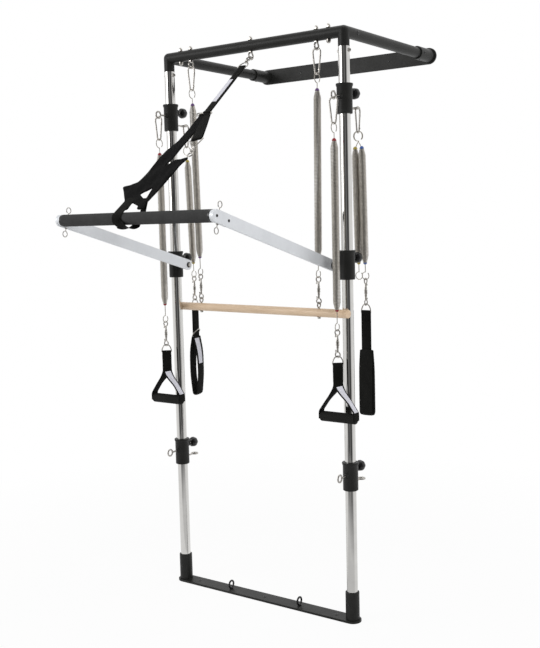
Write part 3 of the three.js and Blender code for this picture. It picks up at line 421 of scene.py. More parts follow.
@dataclass(frozen=True)
class SprayedFinish(Finish):
    """Powder coat or moulded plastic, with orange peel and uneven gloss.

    Args:
        peel_scale: How fine the peel is, per metre.
        peel_depth: Height of the peel, in metres.
    """

    peel_scale: float = 700.0
    peel_depth: float = 0.00012

    def inputs(self, bench: NodeBench) -> dict[str, object]:
        """Adds the orange peel, and roughness that varies a little, to a plain finish.

        Args:
            bench: The material's bench.

        Returns:
            A value or a socket for each input, by name.
        """
        peel = bench.group("peel", Scale=self.peel_scale).outputs["Height"]
        low, high = self.roughness - 0.08, self.roughness + 0.1
        wiped = bench.group("scuffs", Stretch=(14, 14, 5), Low=low, High=high).outputs["Value"]
        return super().inputs(bench) | {"Roughness": wiped, "Normal": bench.bump(peel, self.peel_depth)}


@dataclass(frozen=True)
class MetalFinish(Finish):
    """Plated or drawn metal with fine streaks.

    Args:
        stretch: How fine the streaks are along X, Y and Z, per metre.
        spread: Half the range of its roughness.
        streak_depth: Height of the streaks, in metres.
    """

    metallic: float = 1.0
    stretch: tuple[float, float, float] = (40.0, 40.0, 6.0)
    spread: float = 0.05
    streak_depth: float = 0.00002

    def inputs(self, bench: NodeBench) -> dict[str, object]:
        """Adds streaked roughness and a trace of bump to a plain finish.

        Args:
            bench: The material's bench.

        Returns:
            A value or a socket for each input, by name.
        """
        low, high = max(self.roughness - self.spread, 0.02), self.roughness + self.spread
        streaks = bench.group("scuffs", Stretch=self.stretch, Low=low, High=high).outputs
        normal = bench.bump(streaks["Height"], self.streak_depth, 0.5)
        return super().inputs(bench) | {"Roughness": streaks["Value"], "Normal": normal}


@dataclass(frozen=True)
class FoamFinish(Finish):
    """Closed-cell foam sleeve: dull, with small pores.

    Args:
        pore_scale: Pores to a metre.
        pore_depth: Depth of the pores, in metres.
    """

    pore_scale: float = 650.0
    pore_depth: float = 0.0003

    def inputs(self, bench: NodeBench) -> dict[str, object]:
        """Adds the pores' bump to a plain finish."""
        pores = bench.group("pores", Scale=self.pore_scale).outputs["Height"]
        return super().inputs(bench) | {"Normal": bench.bump(pores, self.pore_depth, 0.8)}


@dataclass(frozen=True)
class WovenFinish(Finish):
    """Webbing or cloth on the piece's own map, with painted shade between its threads.

    Args:
        across: Threads across, in radians to a metre.
        along: Threads along, in radians to a metre.
        thread_depth: Height of a thread, in metres.
        shade: How much the painted shade darkens the colour between the threads.
    """

    across: float = 2600.0
    along: float = 2600.0
    thread_depth: float = 0.0004
    shade: float = 0.55

    def inputs(self, bench: NodeBench) -> dict[str, object]:
        """Adds threads with painted shade between them, so their crowns are lighter, and their bump, to a
        plain finish.

        Args:
            bench: The material's bench.

        Returns:
            A value or a socket for each input, by name.
        """
        plain = super().inputs(bench)
        threads = bench.group("weave", Across=self.across, Along=self.along).outputs["Mask"]
        # Painted shade: the weave mask darkens the colour between the threads.
        colour = bench.mixed(self.shade, plain["Base_Color"], threads, "MULTIPLY")
        return plain | {"Base_Color": colour, "Normal": bench.bump(threads, self.thread_depth)}


@dataclass(frozen=True)
class WoodFinish(Finish):
    """Pale turned wood with its grain along the bar.

    Args:
        fleck: The colour of the short pores.
        grain_depth: Height of the grain, in metres.
        coat: Strength of the clear coat.
    """

    fleck: tuple[float, float, float, float] = (0.4, 0.25, 0.14, 1)
    grain_depth: float = 0.0001
    coat: float = 0.15

    def colour(self, bench: NodeBench) -> bpy.types.NodeSocket:
        """Returns the grain's colour."""
        grain = bench.group("grain", Light=self.light, Dark=self.dark, Fleck=self.fleck)
        return grain.outputs["Color"]

    def inputs(self, bench: NodeBench) -> dict[str, object]:
        """Adds the grain's bump and a clear coat to a plain finish.

        Args:
            bench: The material's bench.

        Returns:
            A value or a socket for each input, by name.
        """
        plain = super().inputs(bench)
        height = plain["Base_Color"].node.outputs["Height"]
        return plain | {"Normal": bench.bump(height, self.grain_depth, 0.6), "Coat_Weight": self.coat}


POWDER_COAT = SprayedFinish(
    "black_powder_coat", (0.0185, 0.0185, 0.0175, 1), (0.0125, 0.0125, 0.0115, 1), roughness=0.4,
    specular=0.2,
)
CHROME = MetalFinish(
    "upright_chrome", (0.74, 0.73, 0.71, 1), (0.68, 0.67, 0.65, 1), roughness=0.07,
    spread=0.02, stretch=(60.0, 60.0, 3.0),
)
ZINC = MetalFinish(
    "plated_steel", (0.54, 0.52, 0.49, 1), (0.38, 0.36, 0.33, 1), roughness=0.22,
    cloud_scale=90.0, stretch=(200.0, 200.0, 200.0),
)
SPRING_WIRE = MetalFinish(
    "spring_wire", (0.52, 0.49, 0.44, 1), (0.41, 0.385, 0.345, 1), roughness=0.30,
    cloud_scale=60.0, stretch=(150.0, 150.0, 30.0),
)
ALUMINIUM = MetalFinish(
    "brushed_aluminium", (0.78, 0.80, 0.83, 1), (0.72, 0.74, 0.77, 1), roughness=0.45,
    metallic=0.35, cloud_scale=12.0, stretch=(1500.0, 8.0, 1500.0), streak_depth=0.00004,
)
KNOB_PLASTIC = SprayedFinish(
    "knob_plastic", (0.009, 0.009, 0.010, 1), (0.006, 0.006, 0.006, 1), roughness=0.27,
    peel_scale=1500.0, peel_depth=0.00008, specular=0.5,
)
BAR_FOAM = FoamFinish(
    "bar_foam", (0.054, 0.054, 0.054, 1), (0.042, 0.042, 0.042, 1), roughness=0.85, specular=0.15,
)
GRIP_FOAM = FoamFinish(
    "grip_foam", (0.016, 0.016, 0.0145, 1), (0.012, 0.012, 0.011, 1), roughness=0.8, specular=0.15,
)
WEBBING = WovenFinish(
    "strap_webbing", (0.010, 0.010, 0.0085, 1), (0.006, 0.006, 0.005, 1), roughness=0.8, specular=0.12,
)
SLING_CLOTH = WovenFinish(
    "sling_cloth", (0.009, 0.009, 0.009, 1), (0.005, 0.005, 0.005, 1), roughness=0.86, specular=0.1,
    across=4200.0, along=4200.0, thread_depth=0.00025,
)
PAD_CLOTH = WovenFinish(
    "pad_cloth", (0.019, 0.019, 0.0175, 1), (0.012, 0.012, 0.011, 1), roughness=0.9, specular=0.1,
    across=3600.0, along=3600.0, thread_depth=0.0003,
)
BEECH = WoodFinish(
    "beech", (0.76, 0.58, 0.41, 1), (0.65, 0.475, 0.315, 1), roughness=0.48, fleck=(0.45, 0.30, 0.18, 1)
)
LABEL = SprayedFinish(
    "blank_label", (0.70, 0.70, 0.76, 1), (0.62, 0.62, 0.68, 1), roughness=0.5, cloud_scale=400.0,
    peel_scale=2500.0,
)


def tip_finish(colour: TipColour) -> Finish:
    """Gives the dipped plastic finish of a spring's tip.

    Args:
        colour: The tip's colour.

    Returns:
        The finish.
    """
    red, green, blue, alpha = colour.value
    dark = (red * 0.7, green * 0.7, blue * 0.7, alpha)
    return SprayedFinish(f"tip_{colour.name.lower()}", colour.value, dark, roughness=0.35, peel_scale=900.0)


# Forms


def unit(rows: np.ndarray) -> np.ndarray:
    """Returns each row scaled to length one."""
    return rows / np.maximum(np.linalg.norm(rows, axis=-1, keepdims=True), 1e-12)


def circle(radius: float, sides: int) -> np.ndarray:
    """Returns a round section as points in its plane."""
    angles = np.linspace(0, TAU, sides, endpoint=False)
    return np.column_stack([np.cos(angles), np.sin(angles)]) * radius


def strap_section(width: float, thickness: float, crown: float = 0.35) -> np.ndarray:
    """Returns a flat strap's section with softly rounded edges.

    Args:
        width: The strap's width.
        thickness: Its thickness.
        crown: How much of the thickness is lost toward the edges.

    Returns:
        The section's points, with the width along the first axis.
    """
    half, deep = width / 2, thickness / 2
    rows = [(1, -0.45), (1, 0.45), (0.94, 0.82), (0.7, 1), (0, 1), (-0.7, 1), (-0.94, 0.82)]
    rows += [(-1, 0.45), (-1, -0.45), (-0.94, -0.82), (-0.7, -1), (0, -1), (0.7, -1), (0.94, -0.82)]
    crowned = [(x * half, y * deep * (1 - crown * abs(x) ** 4)) for x, y in rows]
    return np.array(crowned)


def fillet(points: Sequence[Point], radius: float, steps: int = 5) -> np.ndarray:
    """Rounds the corners of an open path.

    Args:
        points: The path's corners.
        radius: Distance from a corner to the ends of its arc.
        steps: Points on each arc.

    Returns:
        The rounded path.
    """
    corners = [np.array(point, float) for point in points]
    path = [corners[0]]
    for before, corner, after in zip(corners, corners[1:], corners[2:]):
        first, last = before - corner, after - corner
        reach = min(radius, np.linalg.norm(first) * 0.48, np.linalg.norm(last) * 0.48)
        start = corner + first / np.linalg.norm(first) * reach
        end = corner + last / np.linalg.norm(last) * reach
        for step in range(steps + 1):
            t = step / steps
            path.append((1 - t) ** 2 * start + 2 * t * (1 - t) * corner + t * t * end)
    path.append(corners[-1])
    return np.array(path)


def arc_points(radius: float, start: float, end: float, steps: int, centre: Point = (0, 0, 0)) -> np.ndarray:
    """Returns an arc in the XZ plane.

    Args:
        radius: The arc's radius.
        start: Its first angle, in radians from +X towards +Z.
        end: Its last angle.
        steps: Number of steps from the one to the other.
        centre: The arc's centre.

    Returns:
        The arc's points.
    """
    angles = np.linspace(start, end, steps + 1)
    flat = np.zeros_like(angles)
    return np.column_stack([np.cos(angles), flat, np.sin(angles)]) * radius + np.array(centre, float)


def standing(points: np.ndarray) -> np.ndarray:
    """Returns points of the XZ plane put in the YZ plane."""
    return points[:, [1, 0, 2]]


def rod(radius: float, low: float, high: float) -> Outline:
    """Returns the profile of a plain cylinder, from one height to another."""
    return [(0, low), (radius, low), (radius, high), (0, high)]


def mirrored(half: Outline) -> Outline:
    """Returns the profile whose lower half is given, from the bottom to the middle."""
    return half + [(radius, -height) for radius, height in half[::-1]]


def seam(high: float, length: float = 14) -> np.ndarray:
    """Returns the path of a sewn patch, straight down from a height."""
    return np.array([(0, 0, high), (0, 0, high - length)], float)


def clamped(value: float) -> float:
    """Returns a value held between 0 and 1."""
    return min(max(value, 0), 1)


def run_length(path: np.ndarray) -> np.ndarray:
    """Returns the distance travelled to each point of a path."""
    return np.concatenate([[0], np.cumsum(np.linalg.norm(np.diff(path, axis=0), axis=1))])


def respaced(path: np.ndarray, count: int) -> np.ndarray:
    """Spaces the points of a path evenly.

    Args:
        path: The path's points.
        count: How many points to return.

    Returns:
        The new points.
    """
    travelled = run_length(path)
    spread = np.linspace(0, travelled[-1], count)
    return np.column_stack([np.interp(spread, travelled, path[:, axis]) for axis in range(3)])


def placed(position: Point = (0, 0, 0), turn: float = 0.0, aim: Vector | None = None) -> Matrix:
    """Returns a place in millimetres.

    Args:
        position: Where the local origin goes.
        turn: Turn about the local Z axis, in radians.
        aim: Where the local -Z axis points. Straight down if left out.

    Returns:
        The matrix from local to the part's frame.
    """
    lean = Matrix.Identity(4)
    if aim is not None:
        lean = Vector((0, 0, -1)).rotation_difference(aim).to_matrix().to_4x4()
    return Matrix.Translation(position) @ lean @ Matrix.Rotation(turn, 4, "Z")


@dataclass
class Form:
    """A mesh being built, in millimetres, with a finish number for each face.

    Args:
        points: Arrays of the points so far.
        maps: Their places on the piece's own map, in metres.
        faces: The faces, as indices into all the points.
        finish_of: Number of the finish of each face.
        count: How many points there are.
        place: Where the next shapes go.
        finish: Number of the finish that they take.
    """

    points: list[np.ndarray] = field(default_factory=list)
    maps: list[np.ndarray] = field(default_factory=list)
    faces: list[tuple[int, ...]] = field(default_factory=list)
    finish_of: list[int] = field(default_factory=list)
    count: int = 0
    place: Matrix = field(default_factory=lambda: Matrix.Identity(4))
    finish: int = 0

    def at(self, place: Matrix, finish: int | None = None) -> "Form":
        """Sets where the next shapes go, and which finish they take.

        Args:
            place: The matrix from local to the part's frame.
            finish: Number of the finish, or None to keep the last one.

        Returns:
            This form.
        """
        self.place = place
        if finish is not None:
            self.finish = finish
        return self

    def add(self, points: np.ndarray, faces: Iterable[Sequence[int]], mapped: np.ndarray) -> None:
        """Adds points and faces.

        Args:
            points: Local points in millimetres.
            faces: Faces as indices into these points.
            mapped: The points' places on the piece's own map, in millimetres.
        """
        matrix = np.array(self.place)
        self.points.append(points @ matrix[:3, :3].T + matrix[:3, 3])
        self.maps.append(mapped * MM)
        new = [tuple(index + self.count for index in face) for face in faces]
        self.faces += new
        self.finish_of += [self.finish] * len(new)
        self.count += len(points)

    def loft(self, rings: np.ndarray, closed: bool, mapped: np.ndarray) -> None:
        """Joins a row of equal rings, and closes open ends with a face.

        Args:
            rings: Array of rings by points by 3.
            closed: Whether the last ring joins the first.
            mapped: Array of rings by points by 2.
        """
        count, size = rings.shape[:2]
        last = count if closed else count - 1
        rows = np.arange(last)[:, None]
        columns = np.arange(size)[None, :]
        a = rows * size + columns
        b = rows * size + (columns + 1) % size
        c = ((rows + 1) % count) * size + (columns + 1) % size
        d = ((rows + 1) % count) * size + columns
        faces = np.stack([a, b, c, d], axis=-1).reshape(-1, 4).tolist()
        if not closed:
            faces.append(list(range(size))[::-1])
            faces.append([(count - 1) * size + index for index in range(size)])
        self.add(rings.reshape(-1, 3), faces, mapped.reshape(-1, 2))

    def sweep(
        self,
        path: np.ndarray,
        section: np.ndarray,
        across: Point | np.ndarray | None = None,
        closed: bool = False,
        widths: np.ndarray | None = None,
    ) -> None:
        """Sweeps a section along a path, with mitred bends.

        Args:
            path: The path's points.
            section: The section's points in its plane.
            across: Direction of the section's first axis, one for all or one for each point. Left
                out, the section doesn't twist.
            closed: Whether the path closes on itself.
            widths: Factor on the section's first axis at each point.
        """
        path = np.array(path, float)
        ahead = unit(np.roll(path, -1, axis=0) - path)
        if not closed:
            ahead[-1] = ahead[-2]
        behind = np.roll(ahead, 1, axis=0)
        if not closed:
            behind[0] = ahead[0]
        middle = unit(ahead + behind)
        if across is not None:
            first = np.broadcast_to(unit(np.array(across, float)), path.shape)
            first = unit(first - middle * np.sum(first * middle, axis=1, keepdims=True))
        else:
            first = self._untwisted(middle)
        second = np.cross(middle, first)
        stretch = 1 / np.maximum(np.sum(middle * ahead, axis=1), 0.4)
        bend = unit(ahead - behind)
        wide = np.ones(len(path)) if widths is None else widths
        rings = first[:, None, :] * section[None, :, :1] * wide[:, None, None]
        rings = rings + second[:, None, :] * section[None, :, 1:]
        lean = np.sum(rings * bend[:, None, :], axis=2, keepdims=True)
        rings = rings + bend[:, None, :] * lean * (stretch - 1)[:, None, None]
        rings = rings + path[:, None, :]
        mapped = np.zeros((len(path), len(section), 2))
        mapped[:, :, 0] = section[None, :, 0]
        mapped[:, :, 1] = run_length(path)[:, None]
        self.loft(rings, closed, mapped)

    @staticmethod
    def _untwisted(tangents: np.ndarray) -> np.ndarray:
        """Carries one direction along a path without twist.

        Args:
            tangents: Unit tangents of the path.

        Returns:
            A unit direction square to each tangent.
        """
        current = np.array([0.0, 0.0, 1.0]) if abs(tangents[0][2]) < 0.9 else np.array([0.0, 1.0, 0.0])
        carried = []
        for tangent in tangents:
            current = current - tangent * float(current @ tangent)
            current = current / np.linalg.norm(current)
            carried.append(current)
        return np.array(carried)

    def tube(self, path: Sequence[Point], radius: float, sides: int = 12, closed: bool = False) -> None:
        """Sweeps a round section along a path."""
        self.sweep(np.array(path, float), circle(radius, sides), closed=closed)

    def coil(self, radii: np.ndarray, angles: np.ndarray, heights: np.ndarray, wire: float) -> None:
        """Adds a wire wound about the local Z axis.

        Args:
            radii: Distance of each point from the axis.
            angles: Angle of each point, in radians.
            heights: Height of each point.
            wire: The wire's radius.
        """
        path = np.column_stack([radii * np.cos(angles), radii * np.sin(angles), heights])
        tangents = unit(np.gradient(path, axis=0))
        first = unit(np.cross(tangents, [0.0, 0.0, 1.0]))
        second = np.cross(tangents, first)
        section = circle(wire, 6)
        rings = path[:, None, :] + first[:, None, :] * section[:, :1] + second[:, None, :] * section[:, 1:]
        mapped = np.zeros((len(path), len(section), 2))
        mapped[:, :, 0] = section[:, 0]
        mapped[:, :, 1] = (angles * np.mean(radii))[:, None]
        self.loft(rings, False, mapped)

    def turned(
        self,
        profile: Sequence[tuple[float, float]],
        sides: int = 32,
        axis: Vector = Z_AXIS,
        start: Point = (0, 0, 0),
        hollow: bool = False,
        lobes: Callable[[float], float] | None = None,
    ) -> None:
        """Turns a profile about an axis.

        Args:
            profile: Pairs of radius and height.
            sides: Steps round the axis.
            axis: The axis of turning.
            start: Where height 0 is.
            hollow: Whether the profile closes on itself, as for a ring.
            lobes: Factor on the radius at an angle, for a lobed knob.
        """
        angles = np.linspace(0, TAU, sides, endpoint=False)
        factor = np.array([lobes(angle) for angle in angles]) if lobes else np.ones(sides)
        rings = np.array([
            np.column_stack([
                max(radius, 0.01) * np.cos(angles) * factor,
                max(radius, 0.01) * np.sin(angles) * factor,
                np.full(sides, height),
            ])
            for radius, height in profile
        ])
        turn = np.array(Vector((0, 0, 1)).rotation_difference(axis).to_matrix())
        mapped = np.zeros((len(profile), sides, 2))
        mapped[:, :, 0] = angles[None, :] * max(radius for radius, _ in profile)
        mapped[:, :, 1] = np.array([height for _, height in profile])[:, None]
        self.loft(rings @ turn.T + np.array(start, float), hollow, mapped)

    def ring(self, centre: Point, axis: Vector, radius: float, wire: float, sides: int = 32) -> None:
        """Adds a ring of round wire.

        Args:
            centre: The ring's centre.
            axis: Its axis.
            radius: Its radius, to the middle of the wire.
            wire: The wire's radius.
            sides: Steps round the ring.
        """
        turn = np.array(Vector((0, 1, 0)).rotation_difference(axis).to_matrix())
        path = arc_points(radius, 0, TAU, sides)[:-1] @ turn.T + np.array(centre, float)
        self.tube(path, wire, 10, closed=True)

    def slab(self, outline: Outline, thickness: float) -> None:
        """Adds a flat plate from z = 0 up to its thickness.

        Args:
            outline: The plate's outline.
            thickness: Its thickness.
        """
        count = len(outline)
        flat = np.array(outline, float)
        low = np.column_stack([flat, np.zeros(count)])
        high = np.column_stack([flat, np.full(count, thickness)])
        faces: list[list[int]] = [list(range(count))[::-1], list(range(count, 2 * count))]
        for index in range(count):
            after = (index + 1) % count
            faces.append([index, after, after + count, index + count])
        self.add(np.vstack([low, high]), faces, np.vstack([flat, flat]))

    def mesh(self, name: str) -> bpy.types.Mesh:
        """Makes the shape a mesh, in metres.

        Args:
            name: The mesh's name.

        Returns:
            The new mesh.
        """
        made = bpy.data.meshes.new(name)
        made.from_pydata((np.vstack(self.points) * MM).tolist(), [], self.faces)
        return made


def stadium(length: float, radius: float, steps: int = 14) -> Outline:
    """Returns a bar's outline with round ends, from x = 0 to its length.

    Args:
        length: Distance between the middles of the ends.
        radius: Radius of the ends.
        steps: Steps on each end.

    Returns:
        The outline.
    """
    angles = [math.pi / 2 + math.pi * step / steps for step in range(steps + 1)]
    left = [(radius * math.cos(angle), radius * math.sin(angle)) for angle in angles]
    right = [(length - x, -y) for x, y in left]
    return left + right


def put(name: str, data: bpy.types.ID) -> bpy.types.Object:
    """Puts a mesh, a lamp or a camera in the scene.

    Args:
        name: The object's name.
        data: What it shows.

    Returns:
        The new object.
    """
    made = bpy.data.objects.new(name, data)
    bpy.context.scene.collection.objects.link(made)
    return made


@dataclass
class Bench:
    """Turns forms into pieces of the scene.

    Args:
        effects: The shared shader node groups.
        materials: The materials made so far, by name.
    """

    effects: Effects
    materials: dict[str, bpy.types.Material] = field(default_factory=dict)

    def material(self, finish: Finish) -> bpy.types.Material:
        """Returns a finish's material, made on first use.

        Args:
            finish: The finish.

        Returns:
            Its material.
        """
        if finish.name not in self.materials:
            self.materials[finish.name] = finish.material(self.effects)
        return self.materials[finish.name]

    def piece(
        self,
        name: str,
        form: Form,
        finishes: Sequence[Finish],
        slot: str,
        body: str | None = None,
        replaces: Sequence[str] = (),
        bevel: float = 0.0,
        sharp: float = 38.0,
        smooth_levels: int = 0,
    ) -> bpy.types.Object:
        """Makes a mesh object from a form.

        Args:
            name: The piece's name.
            form: Its shape.
            finishes: The finishes that the form's numbers stand for.
            slot: A material slot's name; not used.
            body: The body it rides on, or None to leave it on no body.
            replaces: The nodes that it stands for.
            bevel: Width of the bevel on its edges, in millimetres.
            sharp: Angle in degrees above which an edge stays sharp.
            smooth_levels: Levels of subdivision.

        Returns:
            The new object.
        """
        mesh = form.mesh(name)
        mapped = np.vstack(form.maps)
        corners = np.zeros(len(mesh.loops), int)
        mesh.loops.foreach_get("vertex_index", corners)
        layer = mesh.uv_layers.new(name="strap_map")
        layer.data.foreach_set("uv", mapped[corners].reshape(-1))
        for finish in finishes:
            mesh.materials.append(self.material(finish))
        mesh.polygons.foreach_set("material_index", form.finish_of)
        mesh.polygons.foreach_set("use_smooth", [True] * len(mesh.polygons))
        mesh.set_sharp_from_angle(angle=math.radians(sharp))
        mesh.update()
        made = put(name, mesh)
        if bevel:
            modifier = made.modifiers.new("edges", "BEVEL")
            modifier.width = bevel * MM
            modifier.segments = 2
            modifier.limit_method = "ANGLE"
            modifier.angle_limit = math.radians(50)
        if smooth_levels:
            modifier = made.modifiers.new("round", "SUBSURF")
            modifier.levels = smooth_levels
            modifier.render_levels = smooth_levels
        if replaces:
            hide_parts(*replaces)
        if body:
            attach(made, body)
        log.info("made %s with %d faces", name, len(mesh.polygons))
        return made

    def steel(self, node: str, form: Form, body: str) -> None:
        """Makes a piece of plated steel that stands for one node."""
        self.piece(f"{node}_steel", form, [ZINC], "zinc_steel", body, [node])


def screw_head(form: Form, centre: Point, axis: Vector, radius: float = 5.0, height: float = 1.6) -> None:
    """Adds a low domed screw head with a socket.

    Args:
        form: The form that is added to.
        centre: Middle of the head's foot.
        axis: Where the head points.
        radius: The head's radius.
        height: The head's height.
    """
    profile = [
        (0, -0.6), (radius, -0.6), (radius, height * 0.45), (radius * 0.84, height * 0.85),
        (radius * 0.62, height), (radius * 0.5, height), (radius * 0.42, height * 0.25), (0, height * 0.25),
    ]
    form.turned(profile, 20, axis, centre)


@dataclass
class SubAssembly:
    """A part of the unit that makes its own pieces.

    Args:
        bench: Where its pieces are made.
    """

    bench: Bench


# The frame


@dataclass
class TowerFrame(SubAssembly):
    """The uprights, top frame, floor base and wall plate.

    Args:
        half: Middle of the unit to the axis of an upright.
        tube: Radius of the tubes.
        beam_z: Height of the crossbar's axis.
        stub_z: Where the painted stub meets the chrome.
        depth: Uprights to the front of the wall plate.
        plate: Thickness of the plates.
        plate_half: Half the plates' width.
        socket: Radius of the sockets.
        base_top: Top of the floor sockets.
        wall_front: Front of the wall sockets.
        bore: Radius inside the sockets' mouths.
        bolt_z: Height of the bolts through the stubs.
        base_eye: Middle of the unit to the floor eyebolts.
        base_screw: Middle of the unit to the outer floor screws.
        wall_screw: Middle of the unit to the outer wall screws.
        rail_screw: Uprights to the screws in the sides of the rails.
        set_screw: Uprights to the set screws of the wall sockets.
        set_screw_z: Height of the set screws of the floor sockets.
    """

    half: float = HALF
    tube: float = TUBE
    beam_z: float = BEAM_Z
    stub_z: float = 1933.5
    depth: float = 623.0
    plate: float = 8.0
    plate_half: float = 30.0
    socket: float = 24.0
    base_top: float = 105.0
    wall_front: float = 522.0
    bore: float = BORE
    bolt_z: float = 1919.5
    base_eye: float = 153.0
    base_screw: float = 307.0
    wall_screw: float = 203.0
    rail_screw: float = 62.0
    set_screw: float = 545.0
    set_screw_z: float = 60.0

    def build(self) -> None:
        """Builds every piece of the frame."""
        self.top()
        self.uprights()
        self.base()
        self.wall()
        self.bolts()

    def top(self) -> None:
        """Builds the crossbar with its stubs, and the two rails."""
        form = Form()
        form.tube([(-self.half, 0, self.beam_z), (self.half, 0, self.beam_z)], self.tube, 40)
        angles = np.linspace(-math.pi / 2, math.pi / 2, 19)
        ball = [(self.tube * math.cos(a), self.tube * math.sin(a)) for a in angles]
        for side in Side:
            x = side.value * self.half
            form.turned(ball, 40, start=(x, 0, self.beam_z))
            form.tube([(x, 0, self.stub_z), (x, 0, self.beam_z)], self.tube, 40)
            form.tube([(x, 0, self.beam_z), (x, self.depth - 0.3, self.beam_z)], self.tube, 40)
            form.turned(rod(16.1, 0, 62), 32, start=(x, 0, self.stub_z - 54))
        self.bench.piece(
            "top_frame_tubes", form, [POWDER_COAT], "black_powder_coat", "frame", ["top_frame"], sharp=30,
        )

    def uprights(self) -> None:
        """Builds the chrome uprights as open tubes."""
        for side in Side:
            form = Form()
            low, high = self.plate + 0.3, self.stub_z - 0.3
            edge, inside = 0.6, 16.6
            profile = [
                (self.tube - edge, low), (self.tube, low + edge), (self.tube, high - edge),
                (self.tube - edge, high), (inside, high), (inside, low),
            ]
            form.turned(profile, 56, start=(side.value * self.half, 0, 0), hollow=True)
            node = f"{side.label}_upright"
            self.bench.piece(f"{node}_tube", form, [CHROME], "chrome", "frame", [node], sharp=30)

    def base(self) -> None:
        """Builds the floor strip, its sockets, its two eyebolts and its screws."""
        form = Form()
        self.strip(form, Matrix.Identity(4), self.base_top - self.plate)
        form.finish = 1
        for side in Side:
            x = side.value * self.base_eye
            form.turned([(0, 0), (7.5, 0), (7.5, 3.5), (5, 5), (0, 5)], 6, start=(x, 0, self.plate))
            form.ring((x, 0, 24.5), X_AXIS, 13.0, 3.5, 36)
        for x in (-self.base_screw, 0.0, self.base_screw):
            screw_head(form, (x, 0, self.plate), Z_AXIS, 6.5, 1.4)
        self.bench.piece(
            "floor_base_strip", form, [POWDER_COAT, KNOB_PLASTIC], "black_powder_coat", "frame",
            ["floor_base"], bevel=0.8,
        )

    def wall(self) -> None:
        """Builds the wall strip, its sockets and its screws."""
        form = Form()
        lying = Matrix.Translation((0, self.depth + self.plate, self.beam_z))
        lying = lying @ Matrix.Rotation(math.pi / 2, 4, "X")
        self.strip(form, lying, self.depth - self.wall_front)
        form.at(Matrix.Identity(4), 1)
        for x in (-self.wall_screw, 0.0, self.wall_screw):
            screw_head(form, (x, self.depth, self.beam_z), -Y_AXIS, 5.5, 1.4)
        self.bench.piece(
            "wall_plate_strip", form, [POWDER_COAT, KNOB_PLASTIC], "black_powder_coat", "frame",
            ["wall_plate"], bevel=0.8,
        )

    def strip(self, form: Form, place: Matrix, socket_length: float) -> None:
        """Adds a flat strip with round ends and two open sockets.

        Args:
            form: The form that is added to.
            place: The matrix of the strip, which lies in its XY plane.
            socket_length: Length of the sockets above the strip.
        """
        form.at(place @ Matrix.Translation((-self.half, 0, 0)), 0)
        form.slab(stadium(2 * self.half, self.plate_half, 18), self.plate)
        mouth = self.plate + socket_length
        profile = [
            (self.socket, self.plate - 1), (self.socket, mouth - 1.2), (self.socket - 1.2, mouth),
            (self.bore, mouth), (self.bore, self.plate - 1),
        ]
        for side in Side:
            form.at(place @ Matrix.Translation((side.value * self.half, 0, 0)))
            form.turned(profile, 48, hollow=True)
        form.at(Matrix.Identity(4))

    def bolts(self) -> None:
        """Builds the through-bolts under the stubs and the set screws of the sockets."""
        form = Form()
        for side in Side:
            x = side.value * self.half
            out = X_AXIS * side.value
            screw_head(form, (x + self.tube, 0, self.bolt_z), X_AXIS, 6.6, 5.6)
            screw_head(form, (x - self.tube, 0, self.bolt_z), -X_AXIS, 5.6, 4.4)
            form.finish = 1
            screw_head(form, (x + side.value * self.tube, self.rail_screw, self.beam_z), out, 6.5, 1.2)
            screw_head(form, (x, -self.socket, self.set_screw_z), -Y_AXIS, 4.2, 1.2)
            screw_head(form, (x, self.set_screw, self.beam_z - self.socket), -Z_AXIS, 4.2, 1.2)
            screw_head(form, (x + self.socket, self.set_screw, self.beam_z), X_AXIS, 4.2, 1.2)
            form.finish = 0
        self.bench.piece("frame_bolts", form, [ZINC, KNOB_PLASTIC], "zinc_steel", "frame")


# Section of the plain domed nut under the two outer bolts, radius and height
DOME_NUT = [(0, -12.4), (3.2, -12), (5.8, -10.4), (7.5, -7.4), (8, -3.6), (8, 0.4), (0, 0.4)]


@dataclass
class CrossbarEyes(SubAssembly):
    """The five bolts through the crossbar: three with an eye, the outer two with a dome.

    Args:
        places: Node name and distance from the middle of each eyebolt.
        beam_z: Height of the crossbar's axis.
        tube: Radius of the crossbar.
        eye_z: Height of the eyes' centres.
        eye: Radius of the eyes, to the middle of the wire.
        wire: Radius of the eyes' wire.
    """

    places: dict[str, float] = field(default_factory=lambda: {
        "left_outer_eyebolt": -316.0, "left_eyebolt": -INNER_EYE, "middle_eyebolt": 0.0,
        "right_eyebolt": INNER_EYE, "right_outer_eyebolt": 316.0,
    })
    beam_z: float = BEAM_Z
    tube: float = TUBE
    eye_z: float = EYE_Z
    eye: float = 12.0
    wire: float = 3.0

    def build(self) -> None:
        """Builds each eyebolt with its washer and pointed nut."""
        top = self.beam_z + self.tube
        for node, x in self.places.items():
            form = Form()
            shank = self.eye_z + self.eye
            form.turned(rod(4, 0, top - shank), 16, start=(x, 0, shank))
            if "outer" in node:
                form.turned(DOME_NUT, 28, start=(x, 0, self.beam_z - self.tube))
            else:
                form.ring((x, 0, self.eye_z), X_AXIS, self.eye, self.wire, 36)
                form.turned(
                    [(0, 0), (6.4, 0), (7.8, 1.2), (7.8, 7), (0, 7)], 6,
                    start=(x, 0, self.beam_z - self.tube - 6.8),
                )
            form.turned(rod(8.6, 0, 1.2), 24, start=(x, 0, top))
            form.turned([(0, 1.2), (7.3, 1.2), (7.3, 7), (6.2, 8)], 6, start=(x, 0, top))
            form.turned([(6.2, 7.4), (5.6, 9), (3.6, 12), (1.2, 14), (0, 14.2)], 20, start=(x, 0, top))
            self.bench.steel(node, form, "frame")


# Collars and knobs


